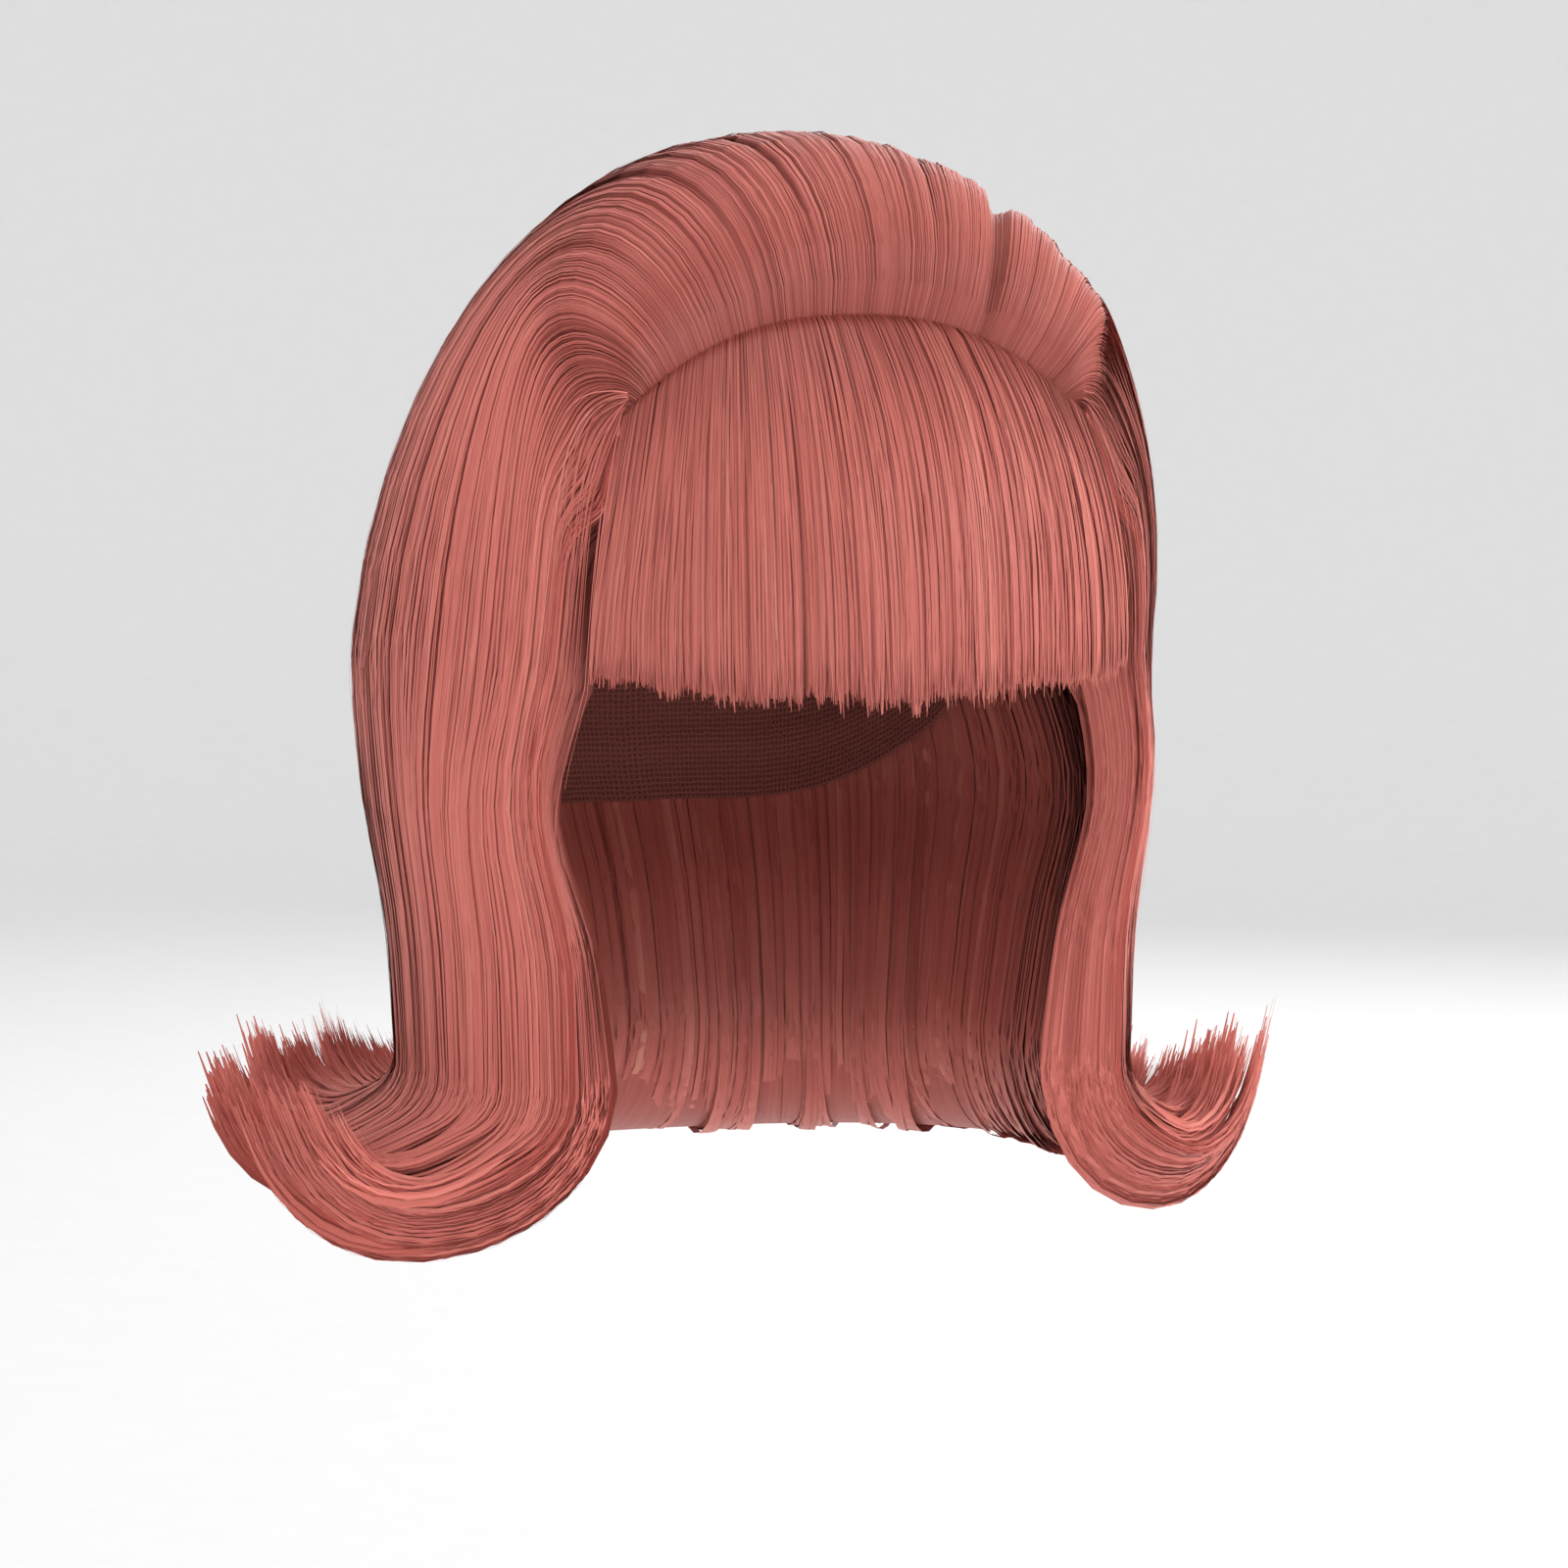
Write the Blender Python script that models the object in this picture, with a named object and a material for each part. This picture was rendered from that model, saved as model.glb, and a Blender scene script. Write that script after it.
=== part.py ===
"""Bouffant flip wig: a hollow cap, a full fringe, and seven hair sections that sweep
back from the parting, fall round the neck and flip outwards at their ends.

Metres, +Z up. The wearer faces -Y, and the wearer's left is +X. The origin is the
inside of the cap's crown, where the wig sits on the head.
"""

import math
from collections import namedtuple

import bmesh
import bpy
from mathutils import Vector

# The head hollow inside the cap
HEAD_HALF_WIDTH = 0.076
HEAD_FRONT = 0.096
HEAD_BACK = 0.100
HEAD_RISE = 0.118
NAPE_TUCK = 0.075
HEAD_POWER = 2.3

# The cap
CAP_WALL = 0.002

# How far the hair stands off the head: over the crown, at the sides, behind and in
# front. It is widest a little above the head's widest level, and over that level it
# leans forwards.
CROWN_HAIR = 0.041
SIDE_HAIR = 0.0335
BACK_HAIR = 0.023
FRONT_HAIR = 0.012
WIDEST_LIFT = 0.013
CROWN_LEAN = 0.022

# The parting: a bow from temple to temple, over the forehead
PARTING_HALF_WIDTH = 0.066
PARTING_FRONT = 0.072
PARTING_DROP = 0.0075
PARTING_END_DROP = 0.033
PARTING_BOW = 2.4

# How far round from the back of the head the falls reach, in degrees
FRONT_EDGE_ANGLE = 135.0

# The roll of hair that rises behind the parting, fullest over the temples
ROLL_SHARE = 0.24
ROLL_EDGE_SHARE = 0.16
ROLL_SWELL_SHARE = 0.06
ROLL_SWELL_PLACE_SHARE = 0.30
SWEEP_PULL_SHARE = 0.80
DROP_PULL_SHARE = 0.75

# The falls, from the widest level down to the centre of the flip
FALL_LENGTH = 0.106
INNER_FRONT_POWER = 3.4

# The flip: how tight the outermost hair curls, how deep a curl is and how it closes
# past its lowest point, as shares of its radius, which way the front edge curls, in
# degrees from straight back, how far the curl turns before the cut ends run straight
# on, and how the ends thin out
CURL_RADIUS = 0.018
CURL_DEPTH_SHARE = 0.86
CURL_CLOSING_SHARE = 0.80
FLIP_FACING = 66.0
FLIP_ARC = 158.0
FLIP_END = 168.0
FLIP_POINT = 18.0
FLIP_TAPER_SHARE = 0.75
FLIP_TAPER_START = 50.0

# The fringe
FRINGE_SWELL_SHARE = 0.4
FRINGE_CORNER_LIFT_SHARE = 0.05
FRINGE_POINT_SHARE = 0.014

# The furrows between the locks
FURROW_DEPTH = 0.0018
FURROW_FADE_SHARE = 0.12

# Clearances
PIECE_GAP = 0.0003
SEAT_GAP = 0.0012

# How finely the cap and the hair are cut into faces
CAP_COLUMNS = 36
CAP_ROWS = 8
COLUMNS_PER_LOCK = 3
DOME_ROWS = 11
ROLL_CROWDING = 1.2
FALL_LEVELS = 6
FLIP_ROWS = 8
FRINGE_LOCKS = 9
FRINGE_ROWS = 9

BOUFFANT_HALF_WIDTH = HEAD_HALF_WIDTH + SIDE_HAIR
BOUFFANT_FRONT = HEAD_FRONT + FRONT_HAIR
BOUFFANT_BACK = HEAD_BACK + BACK_HAIR
WIDEST_DROP = HEAD_RISE - WIDEST_LIFT
BOUFFANT_RISE = WIDEST_DROP + CROWN_HAIR
WIDEST_Z = -WIDEST_DROP
HEAD_CENTRE = Vector((0.0, 0.0, -HEAD_RISE))

# The falls' levels. drop is a share of FALL_LENGTH. The outer sizes are shares of the
# bouffant's half-width, back and front, and the inner ones of the head's. The higher
# front_power, the squarer the outer front corner.
FallRow = namedtuple(
    "FallRow",
    "drop outer_side outer_back outer_front front_power inner_side inner_back inner_front",
)
FALL_ROWS = (
    FallRow(0.00, 1.000, 1.000, 1.00, 2.0, 1.04, 1.035, 0.83),
    FallRow(0.33, 0.970, 0.995, 0.83, 2.8, 1.18, 1.020, 0.72),
    FallRow(0.66, 0.925, 0.870, 0.78, 3.0, 1.08, 0.830, 0.70),
    FallRow(1.00, 0.905, 0.830, 0.76, 3.2, 1.00, 0.720, 0.70),
)

# The cap's lower edge. angle runs from the back of the head, in degrees, and drop is
# a share of HEAD_RISE below the crown.
EdgeRow = namedtuple("EdgeRow", "angle drop")
CAP_EDGE = (
    EdgeRow(0.0, 1.27),
    EdgeRow(40.0, 1.24),
    EdgeRow(68.0, 1.08),
    EdgeRow(90.0, 0.84),
    EdgeRow(112.0, 0.88),
    EdgeRow(135.0, 0.60),
    EdgeRow(158.0, 0.42),
    EdgeRow(180.0, 0.39),
)

# The hair sections of one side, from the back to the temple. start and end are
# shares of the way round from the middle of the back to the front edge.
SectionRow = namedtuple("SectionRow", "name start end locks")
SIDE_SECTIONS = (
    SectionRow("rear_fall", 0.21, 0.50, 4),
    SectionRow("side_fall", 0.50, 0.80, 4),
    SectionRow("front_lock", 0.80, 1.00, 3),
)
CROWN_SECTION = SectionRow("crown_sweep", -0.21, 0.21, 5)

# Hair colours, each with its roughness
ROSE = (0.47, 0.125, 0.100, 1.0)
DEEP_ROSE = (0.36, 0.080, 0.065, 1.0)
CAP_ROSE = (0.20, 0.050, 0.042, 1.0)
HAIR_ROUGHNESS = 0.42
CAP_ROUGHNESS = 0.85


def smooth(share):
    """Eases a share from 0 to 1, level at both ends."""
    share = min(1.0, max(0.0, share))
    return share * share * (3.0 - 2.0 * share)


def bent_power(value, power):
    """value raised to power, with its sign kept."""
    return math.copysign(abs(value) ** power, value)


def row_at(rows, at):
    """A table's row at a place between its rows. The first column is the place, and
    each other column runs on a smooth curve through its values."""
    place = next((i for i in range(1, len(rows) - 1) if at <= rows[i][0]), len(rows) - 1)
    low, high = rows[place - 1], rows[place]
    before = rows[max(place - 2, 0)]
    after = rows[min(place + 1, len(rows) - 1)]
    span = high[0] - low[0]
    share = (at - low[0]) / span
    values = []
    for a, b, c, d in zip(before[1:], low[1:], high[1:], after[1:]):
        start_slope = (c - a) / (high[0] - before[0]) * span
        end_slope = (d - b) / (after[0] - low[0]) * span
        bend = c - b
        values.append(
            b
            + start_slope * share
            + (3.0 * bend - 2.0 * start_slope - end_slope) * share**2
            + (start_slope + end_slope - 2.0 * bend) * share**3
        )
    return type(low)(at, *values)


def ring_point(angle, side, back, front, front_power=2.0):
    """A point of a level ring. angle is in degrees from the back towards +X."""
    turn = math.radians(angle)
    across, along = math.sin(turn), math.cos(turn)
    if along >= 0.0:
        return side * across, back * along
    bend = 2.0 / front_power
    return side * bent_power(across, bend), front * bent_power(along, bend)


def seat_point(point, outward):
    """The point of the head form, grown by outward, that lies under a hair point."""
    from_centre = point - HEAD_CENTRE
    depth = HEAD_BACK if from_centre.y > 0.0 else HEAD_FRONT
    rise = HEAD_RISE if from_centre.z > 0.0 else NAPE_TUCK
    reach = (
        abs(from_centre.x / (HEAD_HALF_WIDTH + outward)) ** HEAD_POWER
        + abs(from_centre.y / (depth + outward)) ** HEAD_POWER
        + abs(from_centre.z / (rise + outward)) ** HEAD_POWER
    ) ** (1.0 / HEAD_POWER)
    return HEAD_CENTRE + from_centre / reach


def dome_point(place):
    """A place in the unit dome, carried to the bouffant's outer form."""
    depth = BOUFFANT_BACK if place.y > 0.0 else BOUFFANT_FRONT
    lean = CROWN_LEAN * math.sin(0.5 * math.pi * max(0.0, place.z))
    return Vector(
        (
            BOUFFANT_HALF_WIDTH * place.x,
            depth * place.y - lean,
            WIDEST_Z + BOUFFANT_RISE * place.z,
        )
    )


def dome_place(point):
    """The place in the unit dome of a point in front of the crown."""
    height = (point.z - WIDEST_Z) / BOUFFANT_RISE
    lean = CROWN_LEAN * math.sin(0.5 * math.pi * max(0.0, height))
    return Vector(
        (point.x / BOUFFANT_HALF_WIDTH, (point.y + lean) / BOUFFANT_FRONT, height)
    )


def parting_place(across):
    """The parting in the unit dome. across runs from -1 to 1, temple to temple."""
    fall = (PARTING_END_DROP - PARTING_DROP) * abs(across) ** PARTING_BOW
    return dome_place(
        Vector((PARTING_HALF_WIDTH * across, -PARTING_FRONT, -PARTING_DROP - fall))
    )


def lock_ridge(lock_share):
    """Height across a lock, from 0 in the furrows beside it to 1 on its crest."""
    return abs(math.sin(math.pi * lock_share))


def sweep_place(around, travel):
    """A place on the swept-back hair. around runs from -1 to 1, edge to edge, and
    travel from 0 at the parting to 1 at the widest level."""
    start = parting_place(around)
    near = start.normalized()
    step = 0.01
    tangent = parting_place(around + step) - parting_place(around - step)
    away = near.cross(tangent).normalized()
    turn = math.radians(FRONT_EDGE_ANGLE * around)
    end = Vector((math.sin(turn), math.cos(turn), 0.0))
    pull = 1.0 - abs(around) ** 6
    first = near + away * SWEEP_PULL_SHARE * pull + (end - near) * (1.0 - pull) / 3.0
    last = end + Vector((0.0, 0.0, DROP_PULL_SHARE)) * pull + (near - end) * (1.0 - pull) / 3.0
    left = 1.0 - travel
    direction = (
        near * left**3
        + first * 3.0 * left**2 * travel
        + last * 3.0 * left * travel**2
        + end * travel**3
    ).normalized()
    roll = math.sqrt(1.0 - (1.0 - min(1.0, travel / ROLL_SHARE)) ** 2)
    edge = smooth((1.0 - abs(around)) / ROLL_EDGE_SHARE)
    rise = edge * roll + (1.0 - edge) * travel
    fullest = math.log(0.5) / math.log(ROLL_SWELL_PLACE_SHARE)
    swell = ROLL_SWELL_SHARE * edge * smooth(abs(around)) * math.sin(math.pi * travel**fullest)
    reach = start.length + (1.0 - start.length) * rise + swell
    return direction * reach


def furrowed(outer, inner, ridge):
    """The outer point, drawn in towards the inner one where a furrow runs."""
    return outer + (inner - outer).normalized() * FURROW_DEPTH * (1.0 - ridge)


def sweep_pair(around, travel):
    """Outer and inner point of the swept-back hair over the cap."""
    outer = dome_point(sweep_place(around, travel))
    return outer, seat_point(outer, CAP_WALL + SEAT_GAP)


def fall_pair(around, drop):
    """Outer and inner point of the falls at a level, a share of their length down."""
    row = row_at(FALL_ROWS, drop)
    angle = FRONT_EDGE_ANGLE * around
    z = WIDEST_Z - FALL_LENGTH * drop
    outer = ring_point(
        angle,
        BOUFFANT_HALF_WIDTH * row.outer_side,
        BOUFFANT_BACK * row.outer_back,
        BOUFFANT_FRONT * row.outer_front,
        row.front_power,
    )
    inner = ring_point(
        angle,
        HEAD_HALF_WIDTH * row.inner_side,
        HEAD_BACK * row.inner_back,
        HEAD_FRONT * row.inner_front,
        INNER_FRONT_POWER,
    )
    return Vector((*outer, z)), Vector((*inner, z))


def curl_radius(start, outward):
    """The way from a point, along the level unit vector outward, to the ring that all
    the ends curl round. The ring lies CURL_RADIUS outside the falls."""
    side = BOUFFANT_HALF_WIDTH * FALL_ROWS[-1].outer_side + CURL_RADIUS
    back = BOUFFANT_BACK * FALL_ROWS[-1].outer_back + CURL_RADIUS
    place = (start.x / side, start.y / back)
    step = (outward.x / side, outward.y / back)
    square = step[0] ** 2 + step[1] ** 2
    half = place[0] * step[0] + place[1] * step[1]
    rest = place[0] ** 2 + place[1] ** 2 - 1.0
    return (math.sqrt(half * half - square * rest) - half) / square


def curl_point(start, outward, ring_way, radius, turn):
    """A point of a curl, after turn degrees of it. Past FLIP_ARC it runs straight on,
    as the cut ends do."""
    bend = math.radians(min(turn, FLIP_ARC))
    straight = math.radians(max(0.0, turn - FLIP_ARC))
    along = -math.cos(bend) + straight * math.sin(bend)
    along *= CURL_CLOSING_SHARE if along > 0.0 else 1.0
    up = -math.sin(bend) - straight * math.cos(bend)
    rise = Vector((0.0, 0.0, CURL_DEPTH_SHARE * radius * up))
    return start + outward * (ring_way + radius * along) + rise


def strand(around, lock_share):
    """The outer and inner lines of the hair at one place round the head, from the
    parting to the tips, as two lists of points."""
    ridge = lock_ridge(lock_share)
    outers, inners = [], []
    for row in range(DOME_ROWS + 1):
        travel = (row / DOME_ROWS) ** ROLL_CROWDING
        outer, inner = sweep_pair(around, travel)
        level = 1.0 - (1.0 - ridge) * smooth(travel / FURROW_FADE_SHARE)
        outers.append(furrowed(outer, inner, level))
        inners.append(inner)
    for level in range(1, FALL_LEVELS + 1):
        outer, inner = fall_pair(around, level / FALL_LEVELS)
        outers.append(furrowed(outer, inner, ridge))
        inners.append(inner)
    facing = math.radians(FLIP_FACING) * math.sin(0.5 * math.pi * around)
    outward = Vector((math.sin(facing), math.cos(facing), 0.0))
    outer_way = curl_radius(outer, outward)
    inner_way = curl_radius(inner, outward)
    end = FLIP_END + FLIP_POINT * ridge
    for row in range(1, FLIP_ROWS + 1):
        turn = end * row / FLIP_ROWS
        thinning = smooth((turn - FLIP_TAPER_START) / (end - FLIP_TAPER_START)) * FLIP_TAPER_SHARE
        radius = outer_way + (inner_way - outer_way) * thinning
        radius += FURROW_DEPTH * (1.0 - ridge)
        outers.append(curl_point(outer, outward, outer_way, radius, turn))
        inners.append(curl_point(inner, outward, inner_way, inner_way, turn))
    return outers, inners


def fringe_place(across, travel):
    """A place on the fringe in the unit dome, from the parting down to the brow."""
    start = parting_place(across)
    near = start.normalized()
    turn = math.radians(180.0 - (180.0 - FRONT_EDGE_ANGLE) * across)
    end = Vector((math.sin(turn), math.cos(turn), 0.0))
    direction = (near * (1.0 - travel) + end * travel).normalized()
    swell = 1.0 + FRINGE_SWELL_SHARE * (1.0 - across * across)
    reach = start.length + (1.0 - start.length) * travel**swell
    return direction * reach


def fringe_strand(across, lock_share):
    """The outer and inner lines of the fringe at one place across the forehead."""
    ridge = lock_ridge(lock_share)
    end = 1.0 - FRINGE_CORNER_LIFT_SHARE * across * across + FRINGE_POINT_SHARE * (ridge - 1.0)
    outers, inners = [], []
    for row in range(FRINGE_ROWS + 1):
        travel = end * row / FRINGE_ROWS
        outer = dome_point(fringe_place(across, travel))
        inner = seat_point(outer, CAP_WALL + SEAT_GAP)
        level = 1.0 - (1.0 - ridge) * smooth(travel / FURROW_FADE_SHARE)
        outers.append(furrowed(outer, inner, level))
        inners.append(inner)
    return outers, inners


def shift_start(line, gap):
    """Draws the first point of a line in along the line, to leave a gap there."""
    line[0] = line[0] + (line[1] - line[0]).normalized() * gap


def shift_aside(line, neighbour, gap):
    """Moves a line towards a neighbour's, point by point."""
    for index, point in enumerate(line):
        line[index] = point + (neighbour[index] - point).normalized() * gap


def hair_lines(make_strand, start, end, locks):
    """The columns of a hair section, with half a piece gap left all round it."""
    columns = locks * COLUMNS_PER_LOCK
    lines = []
    for column in range(columns + 1):
        share = column / columns
        lines.append(make_strand(start + (end - start) * share, locks * share))
    for side in range(2):
        shift_aside(lines[0][side], lines[1][side], 0.5 * PIECE_GAP)
        shift_aside(lines[-1][side], lines[-2][side], 0.5 * PIECE_GAP)
        for pair in lines:
            shift_start(pair[side], 0.5 * PIECE_GAP)
    return lines


def add_material(name, colour, roughness):
    material = bpy.data.materials.new(name)
    material.use_nodes = True
    shader = material.node_tree.nodes["Principled BSDF"]
    shader.inputs["Base Color"].default_value = colour
    shader.inputs["Roughness"].default_value = roughness
    shader.inputs["Metallic"].default_value = 0.0
    return material


def add_object(name, mesh_builder, material):
    """Makes a named, smooth-shaded object from a filled bmesh."""
    mesh = bpy.data.meshes.new(name)
    bmesh.ops.recalc_face_normals(mesh_builder, faces=mesh_builder.faces)
    mesh_builder.to_mesh(mesh)
    mesh_builder.free()
    mesh.shade_smooth()
    mesh.set_sharp_from_angle(angle=math.radians(50.0))
    mesh.materials.append(material)
    made = bpy.data.objects.new(name, mesh)
    bpy.context.scene.collection.objects.link(made)
    return made


def add_hair(name, lines, material):
    """Closes a hair section: its outer sheet, its inner sheet and the edges between."""
    build = bmesh.new()
    sheets = [
        [[build.verts.new(point) for point in pair[side]] for pair in lines]
        for side in range(2)
    ]
    rows = len(sheets[0][0])
    for sheet in sheets:
        for left, right in zip(sheet, sheet[1:]):
            for row in range(rows - 1):
                build.faces.new((left[row], left[row + 1], right[row + 1], right[row]))
    outer, inner = sheets
    for column in (0, -1):
        for row in range(rows - 1):
            build.faces.new(
                (
                    outer[column][row],
                    outer[column][row + 1],
                    inner[column][row + 1],
                    inner[column][row],
                )
            )
    for row in (0, -1):
        for column in range(len(lines) - 1):
            build.faces.new(
                (
                    outer[column][row],
                    outer[column + 1][row],
                    inner[column + 1][row],
                    inner[column][row],
                )
            )
    return add_object(name, build, material)


def cap_point(angle, row, outward):
    """A point of the cap's inner face, grown by outward. Row 0 is its lower edge."""
    edge = -HEAD_RISE * row_at(CAP_EDGE, abs(angle)).drop
    lowest = (edge - HEAD_CENTRE.z) / (HEAD_RISE if edge > HEAD_CENTRE.z else NAPE_TUCK)
    climb = math.asin(lowest)
    climb += (0.5 * math.pi - climb) * row / CAP_ROWS
    share = math.sin(climb)
    rise = (HEAD_RISE if share > 0.0 else NAPE_TUCK) + outward
    width = (1.0 - abs(share) ** HEAD_POWER) ** (1.0 / HEAD_POWER)
    turn = math.radians(angle)
    across = bent_power(math.sin(turn), 2.0 / HEAD_POWER)
    along = bent_power(math.cos(turn), 2.0 / HEAD_POWER)
    depth = (HEAD_BACK if along > 0.0 else HEAD_FRONT) + outward
    return Vector(
        (
            (HEAD_HALF_WIDTH + outward) * width * across,
            depth * width * along,
            HEAD_CENTRE.z + rise * share,
        )
    )


def add_cap(material):
    """The hollow cap that the hair is sewn to: one thin wall, open below."""
    build = bmesh.new()
    shells = []
    for outward in (CAP_WALL, 0.0):
        rings = [
            [
                build.verts.new(
                    cap_point(360.0 * column / CAP_COLUMNS - 180.0, row, outward)
                )
                for column in range(CAP_COLUMNS)
            ]
            for row in range(CAP_ROWS)
        ]
        top = build.verts.new((0.0, 0.0, outward))
        for column in range(CAP_COLUMNS):
            after = (column + 1) % CAP_COLUMNS
            for low, high in zip(rings, rings[1:]):
                build.faces.new((low[column], low[after], high[after], high[column]))
            build.faces.new((rings[-1][column], rings[-1][after], top))
        shells.append(rings)
    outer_rim, inner_rim = shells[0][0], shells[1][0]
    for column in range(CAP_COLUMNS):
        after = (column + 1) % CAP_COLUMNS
        build.faces.new(
            (outer_rim[column], outer_rim[after], inner_rim[after], inner_rim[column])
        )
    return add_object("cap", build, material)


def add_section(name, section, side, material):
    """A hair section. side is 1 on the wearer's left, and -1 on the right."""
    lines = hair_lines(
        lambda around, lock_share: strand(side * around, lock_share),
        section.start,
        section.end,
        section.locks,
    )
    return add_hair(name, lines, material)


def main():
    for old in list(bpy.data.objects):
        bpy.data.objects.remove(old)
    hair = add_material("hair", ROSE, HAIR_ROUGHNESS)
    fringe_hair = add_material("fringe_hair", DEEP_ROSE, HAIR_ROUGHNESS)
    net = add_material("cap_net", CAP_ROSE, CAP_ROUGHNESS)
    add_cap(net)
    add_hair("fringe", hair_lines(fringe_strand, -1.0, 1.0, FRINGE_LOCKS), fringe_hair)
    add_section(CROWN_SECTION.name, CROWN_SECTION, 1, hair)
    for section in SIDE_SECTIONS:
        add_section(section.name + "_left", section, 1, hair)
        add_section(section.name + "_right", section, -1, hair)


main()
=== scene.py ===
"""Dresses the bouffant flip wig: combed synthetic hair in fine strands over each
section of the wig, from the arched parting to the flipped ends, and the sewn cap.

Metres, +Z up. The wearer faces -Y, and the wearer's left is +X.
"""

import logging
import math
from dataclasses import dataclass, field
from enum import Enum

import bpy
import numpy as np
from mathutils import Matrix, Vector
from numpy.typing import NDArray


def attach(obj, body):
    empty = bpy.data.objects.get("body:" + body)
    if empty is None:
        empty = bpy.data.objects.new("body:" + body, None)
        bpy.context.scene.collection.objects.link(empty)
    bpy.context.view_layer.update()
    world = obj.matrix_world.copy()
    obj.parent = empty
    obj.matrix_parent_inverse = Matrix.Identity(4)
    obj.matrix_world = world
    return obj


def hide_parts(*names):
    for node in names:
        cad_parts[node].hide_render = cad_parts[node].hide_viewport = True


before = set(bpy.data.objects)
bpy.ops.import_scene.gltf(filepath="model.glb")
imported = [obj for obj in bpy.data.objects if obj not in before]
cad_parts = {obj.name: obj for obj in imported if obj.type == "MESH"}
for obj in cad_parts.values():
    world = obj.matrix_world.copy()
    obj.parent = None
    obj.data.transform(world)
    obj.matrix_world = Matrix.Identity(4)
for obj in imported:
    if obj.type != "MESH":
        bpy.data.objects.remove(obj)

Array = NDArray[np.float64]
Colour = tuple[float, float, float, float]

BODY = "root"
WHITE: Colour = (1.0, 1.0, 1.0, 1.0)

log = logging.getLogger("wig")


def smooth(share: Array | float) -> Array:
    """Ease shares from 0 to 1, level at both ends."""
    share = np.clip(share, 0.0, 1.0)
    return share * share * (3.0 - 2.0 * share)


def unit(vectors: Array) -> Array:
    """Scale vectors to length one."""
    return vectors / np.maximum(np.linalg.norm(vectors, axis=-1, keepdims=True), 1e-9)


def bent_power(values: Array, power: Array | float) -> Array:
    """Raise values to a power, with their signs kept."""
    return np.sign(values) * np.abs(values) ** power


def stack(x: Array, y: Array, z: Array) -> Array:
    """Join coordinates into points.

    Args:
        x: The points' x.
        y: The points' y.
        z: The points' z.

    Returns:
        Points, with their three coordinates along the last axis.
    """
    x, y, z = np.broadcast_arrays(x, y, z)
    return np.stack((x, y, z), axis=-1)


def curve_through(places: Array, values: Array, at: Array) -> Array:
    """Read a smooth curve that goes through points.

    Args:
        places: The points' places, each beyond the last.
        values: Their values.
        at: The places to read at.

    Returns:
        The curve's values there.
    """
    slopes = np.empty_like(values)
    slopes[1:-1] = (values[2:] - values[:-2]) / (places[2:] - places[:-2])
    slopes[0] = (values[1] - values[0]) / (places[1] - places[0])
    slopes[-1] = (values[-1] - values[-2]) / (places[-1] - places[-2])
    high = np.clip(np.searchsorted(places, at), 1, len(places) - 1)
    low = high - 1
    span = places[high] - places[low]
    share = (at - places[low]) / span
    bend = values[high] - values[low]
    leave, arrive = slopes[low] * span, slopes[high] * span
    return (
        values[low]
        + leave * share
        + (3.0 * bend - 2.0 * leave - arrive) * share**2
        + (leave + arrive - 2.0 * bend) * share**3
    )


def shades(tone: Array | float, light: Array | float) -> Array:
    """Join strands' tones and lights into colours for their mesh.

    Args:
        tone: Where each point lies between the deepest and the palest pink.
        light: How much light reaches it.

    Returns:
        Colours, with the tone in red and the light in green.
    """
    tone, light = np.broadcast_arrays(tone, light)
    return np.stack((tone, light, np.zeros(tone.shape), np.ones(tone.shape)), axis=-1)


class Side(Enum):
    """The wearer's side that a section of hair lies on."""

    LEFT = 1
    RIGHT = -1

    @property
    def ending(self) -> str:
        """The ending of the names of this side's pieces."""
        return "_" + self.name.lower()


class Layer(Enum):
    """Where in a section of hair a group of strands lies."""

    FACE = "face"
    LINING = "lining"
    TIPS = "tips"
    FLYAWAY = "flyaway"


@dataclass(frozen=True)
class HeadForm:
    """The hollow inside the cap, as a rounded box that tucks in at the nape."""

    half_width: float = 0.076
    front: float = 0.096
    back: float = 0.100
    rise: float = 0.118
    nape_tuck: float = 0.075
    power: float = 2.3

    def seat(self, points: Array, outward: float) -> Array:
        """Find what lies under points of the hair.

        Args:
            points: Points of the hair.
            outward: How far outside the hollow to stop.

        Returns:
            The places on the grown hollow, on the way from its centre to each point.
        """
        centre = np.array((0.0, 0.0, -self.rise))
        away = points - centre
        depth = np.where(away[..., 1] > 0.0, self.back, self.front) + outward
        height = np.where(away[..., 2] > 0.0, self.rise, self.nape_tuck) + outward
        reach = (
            np.abs(away[..., 0] / (self.half_width + outward)) ** self.power
            + np.abs(away[..., 1] / depth) ** self.power
            + np.abs(away[..., 2] / height) ** self.power
        ) ** (1.0 / self.power)
        return centre + away / np.maximum(reach, 1e-6)[..., None]

    def net(self, turn: Array, climb: Array, outward: float) -> Array:
        """Give points of the hollow's own surface.

        Args:
            turn: Degrees round from the back.
            climb: Angle up from the widest level, in radians.
            outward: How far outside the hollow the points lie.

        Returns:
            The points.
        """
        share = np.sin(climb)
        height = np.where(share > 0.0, self.rise, self.nape_tuck) + outward
        width = np.maximum(1.0 - np.abs(share) ** self.power, 0.0) ** (1.0 / self.power)
        across = bent_power(np.sin(np.radians(turn)), 2.0 / self.power)
        along = bent_power(np.cos(np.radians(turn)), 2.0 / self.power)
        depth = np.where(along > 0.0, self.back, self.front) + outward
        return stack(
            (self.half_width + outward) * width * across,
            depth * width * along,
            -self.rise + height * share,
        )


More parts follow.
